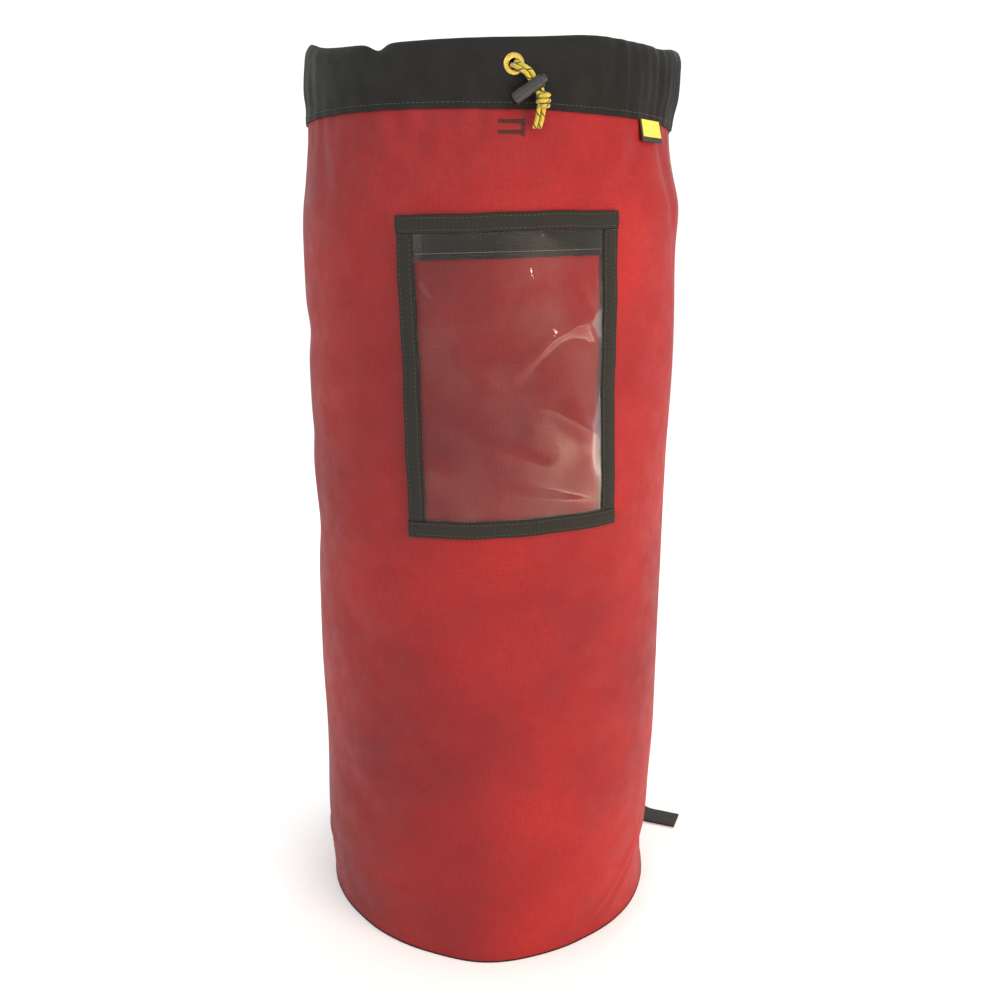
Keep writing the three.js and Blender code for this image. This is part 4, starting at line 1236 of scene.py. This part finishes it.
def pad_place(side, u, height, above):
    """A point of a shoulder pad: u across it from its middle, at a height, above its middle layer."""
    middle = strap_point(side, height, PAD_MIDDLE)
    across = strap_across(side, height)
    out = outward(middle)
    return middle + across * np.asarray(u)[..., None] + out * np.asarray(above)[..., None]


def pad_half_width(t):
    """Half the pad's width, narrower at its two ends. t is from 0 at the top to 1 at the bottom."""
    ends = smooth(t / 0.09) * smooth((1 - t) / 0.12)
    return PAD_WIDTH / 2 - 1.6 - 9.5 * (1 - ends)


def build_pad(name, side):
    ts = np.linspace(0, 1, 90)
    rings = []
    for t in ts:
        height = STRAP_TOP + (PAD_BOTTOM - STRAP_TOP) * t
        half = pad_half_width(t) - 1.2
        turn = np.linspace(0, 2 * np.pi, 28, endpoint=False)
        u = half * np.sign(np.cos(turn)) * np.abs(np.cos(turn)) ** 0.55
        thick = 2.5 * (0.35 + 0.65 * smooth(t / 0.05) * smooth((1 - t) / 0.05))
        n = thick * np.sign(np.sin(turn)) * np.abs(np.sin(turn)) ** 0.8
        rings.append(pad_place(side, u, np.full(len(u), height), n))
    pad = skin(f"shoulder_pad_{name}_cushion", rings, pad_shade)
    inflate(pad, 2.6, 4.0, 1.9)
    pad.data.materials.clear()
    pad.data.materials.append(pad_shade)
    finer = pad.modifiers.new("finer", "SUBSURF")
    finer.levels = finer.render_levels = 1
    bpy.context.view_layer.update()
    applied(pad, finer)
    pad_cloth_uv(pad, side)
    pad.data.shade_smooth()
    sewn(pad, replaced=[f"shoulder_pad_{name}"])
    build_pad_trim(name, side)


def pad_cloth_uv(pad, side):
    """Cloth coordinates in millimetres: across the pad and down it."""
    layer = pad.data.uv_layers.new(name="cloth")
    co = np.array([v.co for v in pad.data.vertices]) / MM
    middle = strap_point(side, co[:, 2], PAD_MIDDLE)
    u = np.sum((co - middle) * strap_across(side, co[:, 2]), 1)
    loops = np.array([loop.vertex_index for loop in pad.data.loops])
    layer.data.foreach_set("uv", np.stack([u[loops], co[loops, 2]], -1).ravel())


def build_pad_trim(name, side):
    """The tape round the pad's edge, the strap sewn down its middle and their stitching."""
    ts = np.linspace(0.004, 0.996, 120)
    heights = STRAP_TOP + (PAD_BOTTOM - STRAP_TOP) * ts
    right = pad_place(side, pad_half_width(ts), heights, np.zeros(120))
    left = pad_place(side, -pad_half_width(ts), heights, np.zeros(120))
    loop = resample(np.vstack([right, left[::-1], right[:1]]), 300)[:-1]
    along = unit(np.roll(loop, -1, 0) - np.roll(loop, 1, 0))
    out = outward(loop)
    wide = np.cross(along, out)
    turn = np.linspace(0, 2 * np.pi, 14, endpoint=False)
    section = [(2.6 * math.cos(a), 3.3 * math.sin(a)) for a in turn]
    rings = [[p + w * x + o * y for x, y in section] for p, w, o in zip(loop, wide, out)]
    tape = skin(f"shoulder_pad_{name}_binding", rings, binding_shade, True)
    sewn(tape)
    heights = np.linspace(STRAP_TOP - 2, PAD_BOTTOM + 3, 120)
    middle = pad_place(side, np.zeros(120), heights, np.full(120, 4.3))
    across = strap_across(side, heights)
    web = ribbon(f"shoulder_pad_{name}_webbing", middle, across, STRAP_WIDTH, 1.3, webbing_shade)
    sewn(web)
    for row, u in (("left", -10.6), ("right", 10.6)):
        line = pad_place(side, np.full(120, u), heights, np.full(120, 5.05))
        seam_name = f"shoulder_pad_{name}_stitches_{row}"
        seam = stitches(seam_name, line, outward(line), olive_thread, 3.4, 2.5, 0.45)
        sewn(seam)


def build_buckle_loop(name, side):
    """The webbing from the pad's end down round the buckle's top bar and back up."""
    origin, x, y, z = buckle_frame(side)
    r = 1.8 + 0.35 + WEBBING / 2
    layer = WEBBING / 2 + 0.2
    bend = [
        (layer, 28), (layer + 0.5, 15), (r, 6), (r, 0), (r * 0.7, -r * 0.7), (0, -r), (-r * 0.7, -r * 0.7),
        (-r, 0), (-r, 6), (-layer - 0.5, 15), (-layer, 24), (-layer, 34),
    ]
    bend = [origin + y * out + z * up for out, up in bend]
    start = strap_point(side, PAD_BOTTOM - 0.6, PAD_MIDDLE)
    line = catmull([start, (start + bend[0]) / 2, *bend], 120)
    web = ribbon(f"buckle_loop_{name}_webbing", line, x, STRAP_WIDTH, WEBBING, webbing_shade)
    sewn(web, replaced=[f"buckle_loop_{name}"])


THROUGH_BUCKLE = [
    (-6, -28.3), (-6, -24), (-5.9, -17), (-5.3, -12.2), (-3.7, -9.2), (-1.7, -7.9), (0.4, -7.8), (2.3, -8.8),
    (3.1, -11), (2.6, -13.4), (0.4, -16), (-2.0, -17.9), (-3.3, -20.6), (-3.6, -24), (-3.7, -28.3),
]
# The free ends of the straps: points, and the direction of the webbing's width, in degrees from +X.
RIGHT_TAIL = [
    (141, 95, 72, -62), (148, 83, 50, -80), (153, 70, 28, -101), (158, 58.5, 10, -115),
    (167, 49, 2.4, -119), (181, 41.2, 1.4, -119), (197, 32.4, 1.4, -119),
]
LEFT_TAIL = [
    (-134, 107, 72, 38), (-131, 116, 48, 18), (-126, 124, 24, 1), (-123, 137, 7, -7),
    (-121, 151, 1.6, -8), (-117, 175, 1.4, -8),
]


def build_adjuster(name, side, tail):
    """The adjusting strap: from its anchor up behind the buckle, over its bar and down to the free end."""
    origin, x, y, z = buckle_frame(side)
    feet = [18, 32, 48, 64, 80]
    points = [strap_point(side, h, SEWN_GAP + WEBBING / 2) for h in feet]
    widths = [strap_across(side, h) for h in feet]
    local = [(-6, -36), *THROUGH_BUCKLE, (-3.7, -36)]
    points += [origin + y * out + z * up for out, up in local]
    widths += [x] * len(local)
    for a, b, c, angle in tail:
        points.append(np.array([a, b, c], float))
        turn = math.radians(angle)
        widths.append(np.array([math.cos(turn), math.sin(turn), 0]))
    count = 260
    line = catmull(points, count)
    spots = distances(np.array(points))
    at = np.linspace(0, spots[-1], count)
    across = np.stack([np.interp(at, spots, np.array(widths)[:, k]) for k in range(3)], -1)
    strap = ribbon(f"adjuster_strap_{name}", line, across, STRAP_WIDTH, WEBBING, webbing_shade)
    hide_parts(f"lower_strap_{name}", f"strap_fold_{name}", f"strap_tail_{name}")
    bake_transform(strap)


for strap_name, strap_side, strap_tail in (("left", -1, LEFT_TAIL), ("right", 1, RIGHT_TAIL)):
    build_pad(strap_name, strap_side)
    build_buckle_loop(strap_name, strap_side)
    build_adjuster(strap_name, strap_side, strap_tail)


# ---------------------------------------------------------------- hardware from the CAD

HARDWARE = {
    "cord_grommet_face": (brass, 0), "cord_grommet_washer": (brass, 0),
    "drain_grommet_face": (brass, 0), "drain_grommet_washer": (brass, 0),
    "cord_lock_barrel": (lock_plastic, 0.25), "cord_lock_plunger": (lock_plastic, 0.2),
    "ladder_lock_left": (buckle_plastic, 0.6), "ladder_lock_right": (buckle_plastic, 0.6),
}


def finish_hardware():
    for name, (material, round_edge) in HARDWARE.items():
        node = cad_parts[name]
        node.data.materials.clear()
        node.data.materials.append(material)
        node.data.shade_smooth()
        node.data.set_sharp_from_angle(angle=math.radians(34))
        if round_edge:
            bevel = node.modifiers.new("rounded edges", "BEVEL")
            bevel.width = round_edge * MM
            bevel.segments = 2
            bevel.limit_method = "ANGLE"
            bevel.angle_limit = math.radians(40)
            bevel.harden_normals = False


finish_hardware()


# ---------------------------------------------------------------- floor and light

def area_light(name, place, aim, size, power, colour):
    data = bpy.data.lights.new(name, "AREA")
    data.shape = "RECTANGLE"
    data.size, data.size_y = size
    data.energy = power
    data.color = colour
    light = bpy.data.objects.new(name, data)
    bpy.context.scene.collection.objects.link(light)
    light.location = place
    way = Vector(aim) - Vector(place)
    light.rotation_euler = way.to_track_quat("-Z", "Y").to_euler()
    return light


# Narrow lights that show as streaks in the gloss: name, place and size.
GLINTS = [
    ("glint_left", (-0.75, -1.45, 1.25), (0.05, 0.5)),
    ("glint_middle", (-0.1, -1.6, 1.45), (0.05, 0.4)),
    ("glint_right", (0.62, -1.5, 0.95), (0.05, 0.5)),
]
GLINT_POWER = 2.2
SKY = 1.08  # brings the pale floor up to white


def build_studio():
    m = Shade("studio_floor", 0.9)
    m.colour(m.mix(m.noise(m.solid(), 0.004, 2), (0.93, 0.93, 0.93), (0.95, 0.95, 0.95)))
    half = 30000
    corners = [(-half, -half, -0.2), (half, -half, -0.2), (half, half, -0.2), (-half, half, -0.2)]
    floor = new_object("floor", corners, [[0, 1, 2, 3]], m.material)
    world = bpy.data.worlds.new("studio")
    world.use_nodes = True
    world.node_tree.nodes["Background"].inputs[0].default_value = (1.0, 1.0, 1.0, 1)
    world.node_tree.nodes["Background"].inputs[1].default_value = SKY
    bpy.context.scene.world = world
    bpy.context.scene.view_settings.view_transform = "Standard"
    key = area_light("key", (1.6, -1.6, 0.45), (0, 0, 0.15), (1.0, 1.0), 60, (1.0, 0.76, 0.54))
    key.visible_glossy = False
    area_light("fill", (-1.9, -1.1, 1.1), (0, 0, 0.4), (1.2, 1.2), 4, (0.95, 0.97, 1.0))
    area_light("back", (0.6, 1.9, 1.4), (0, 0, 0.4), (1.4, 1.4), 16, (1, 0.98, 0.95))
    for name, place, size in GLINTS:
        area_light(name, place, (0, 0, 0.5), size, GLINT_POWER, (1, 1, 1))


build_studio()
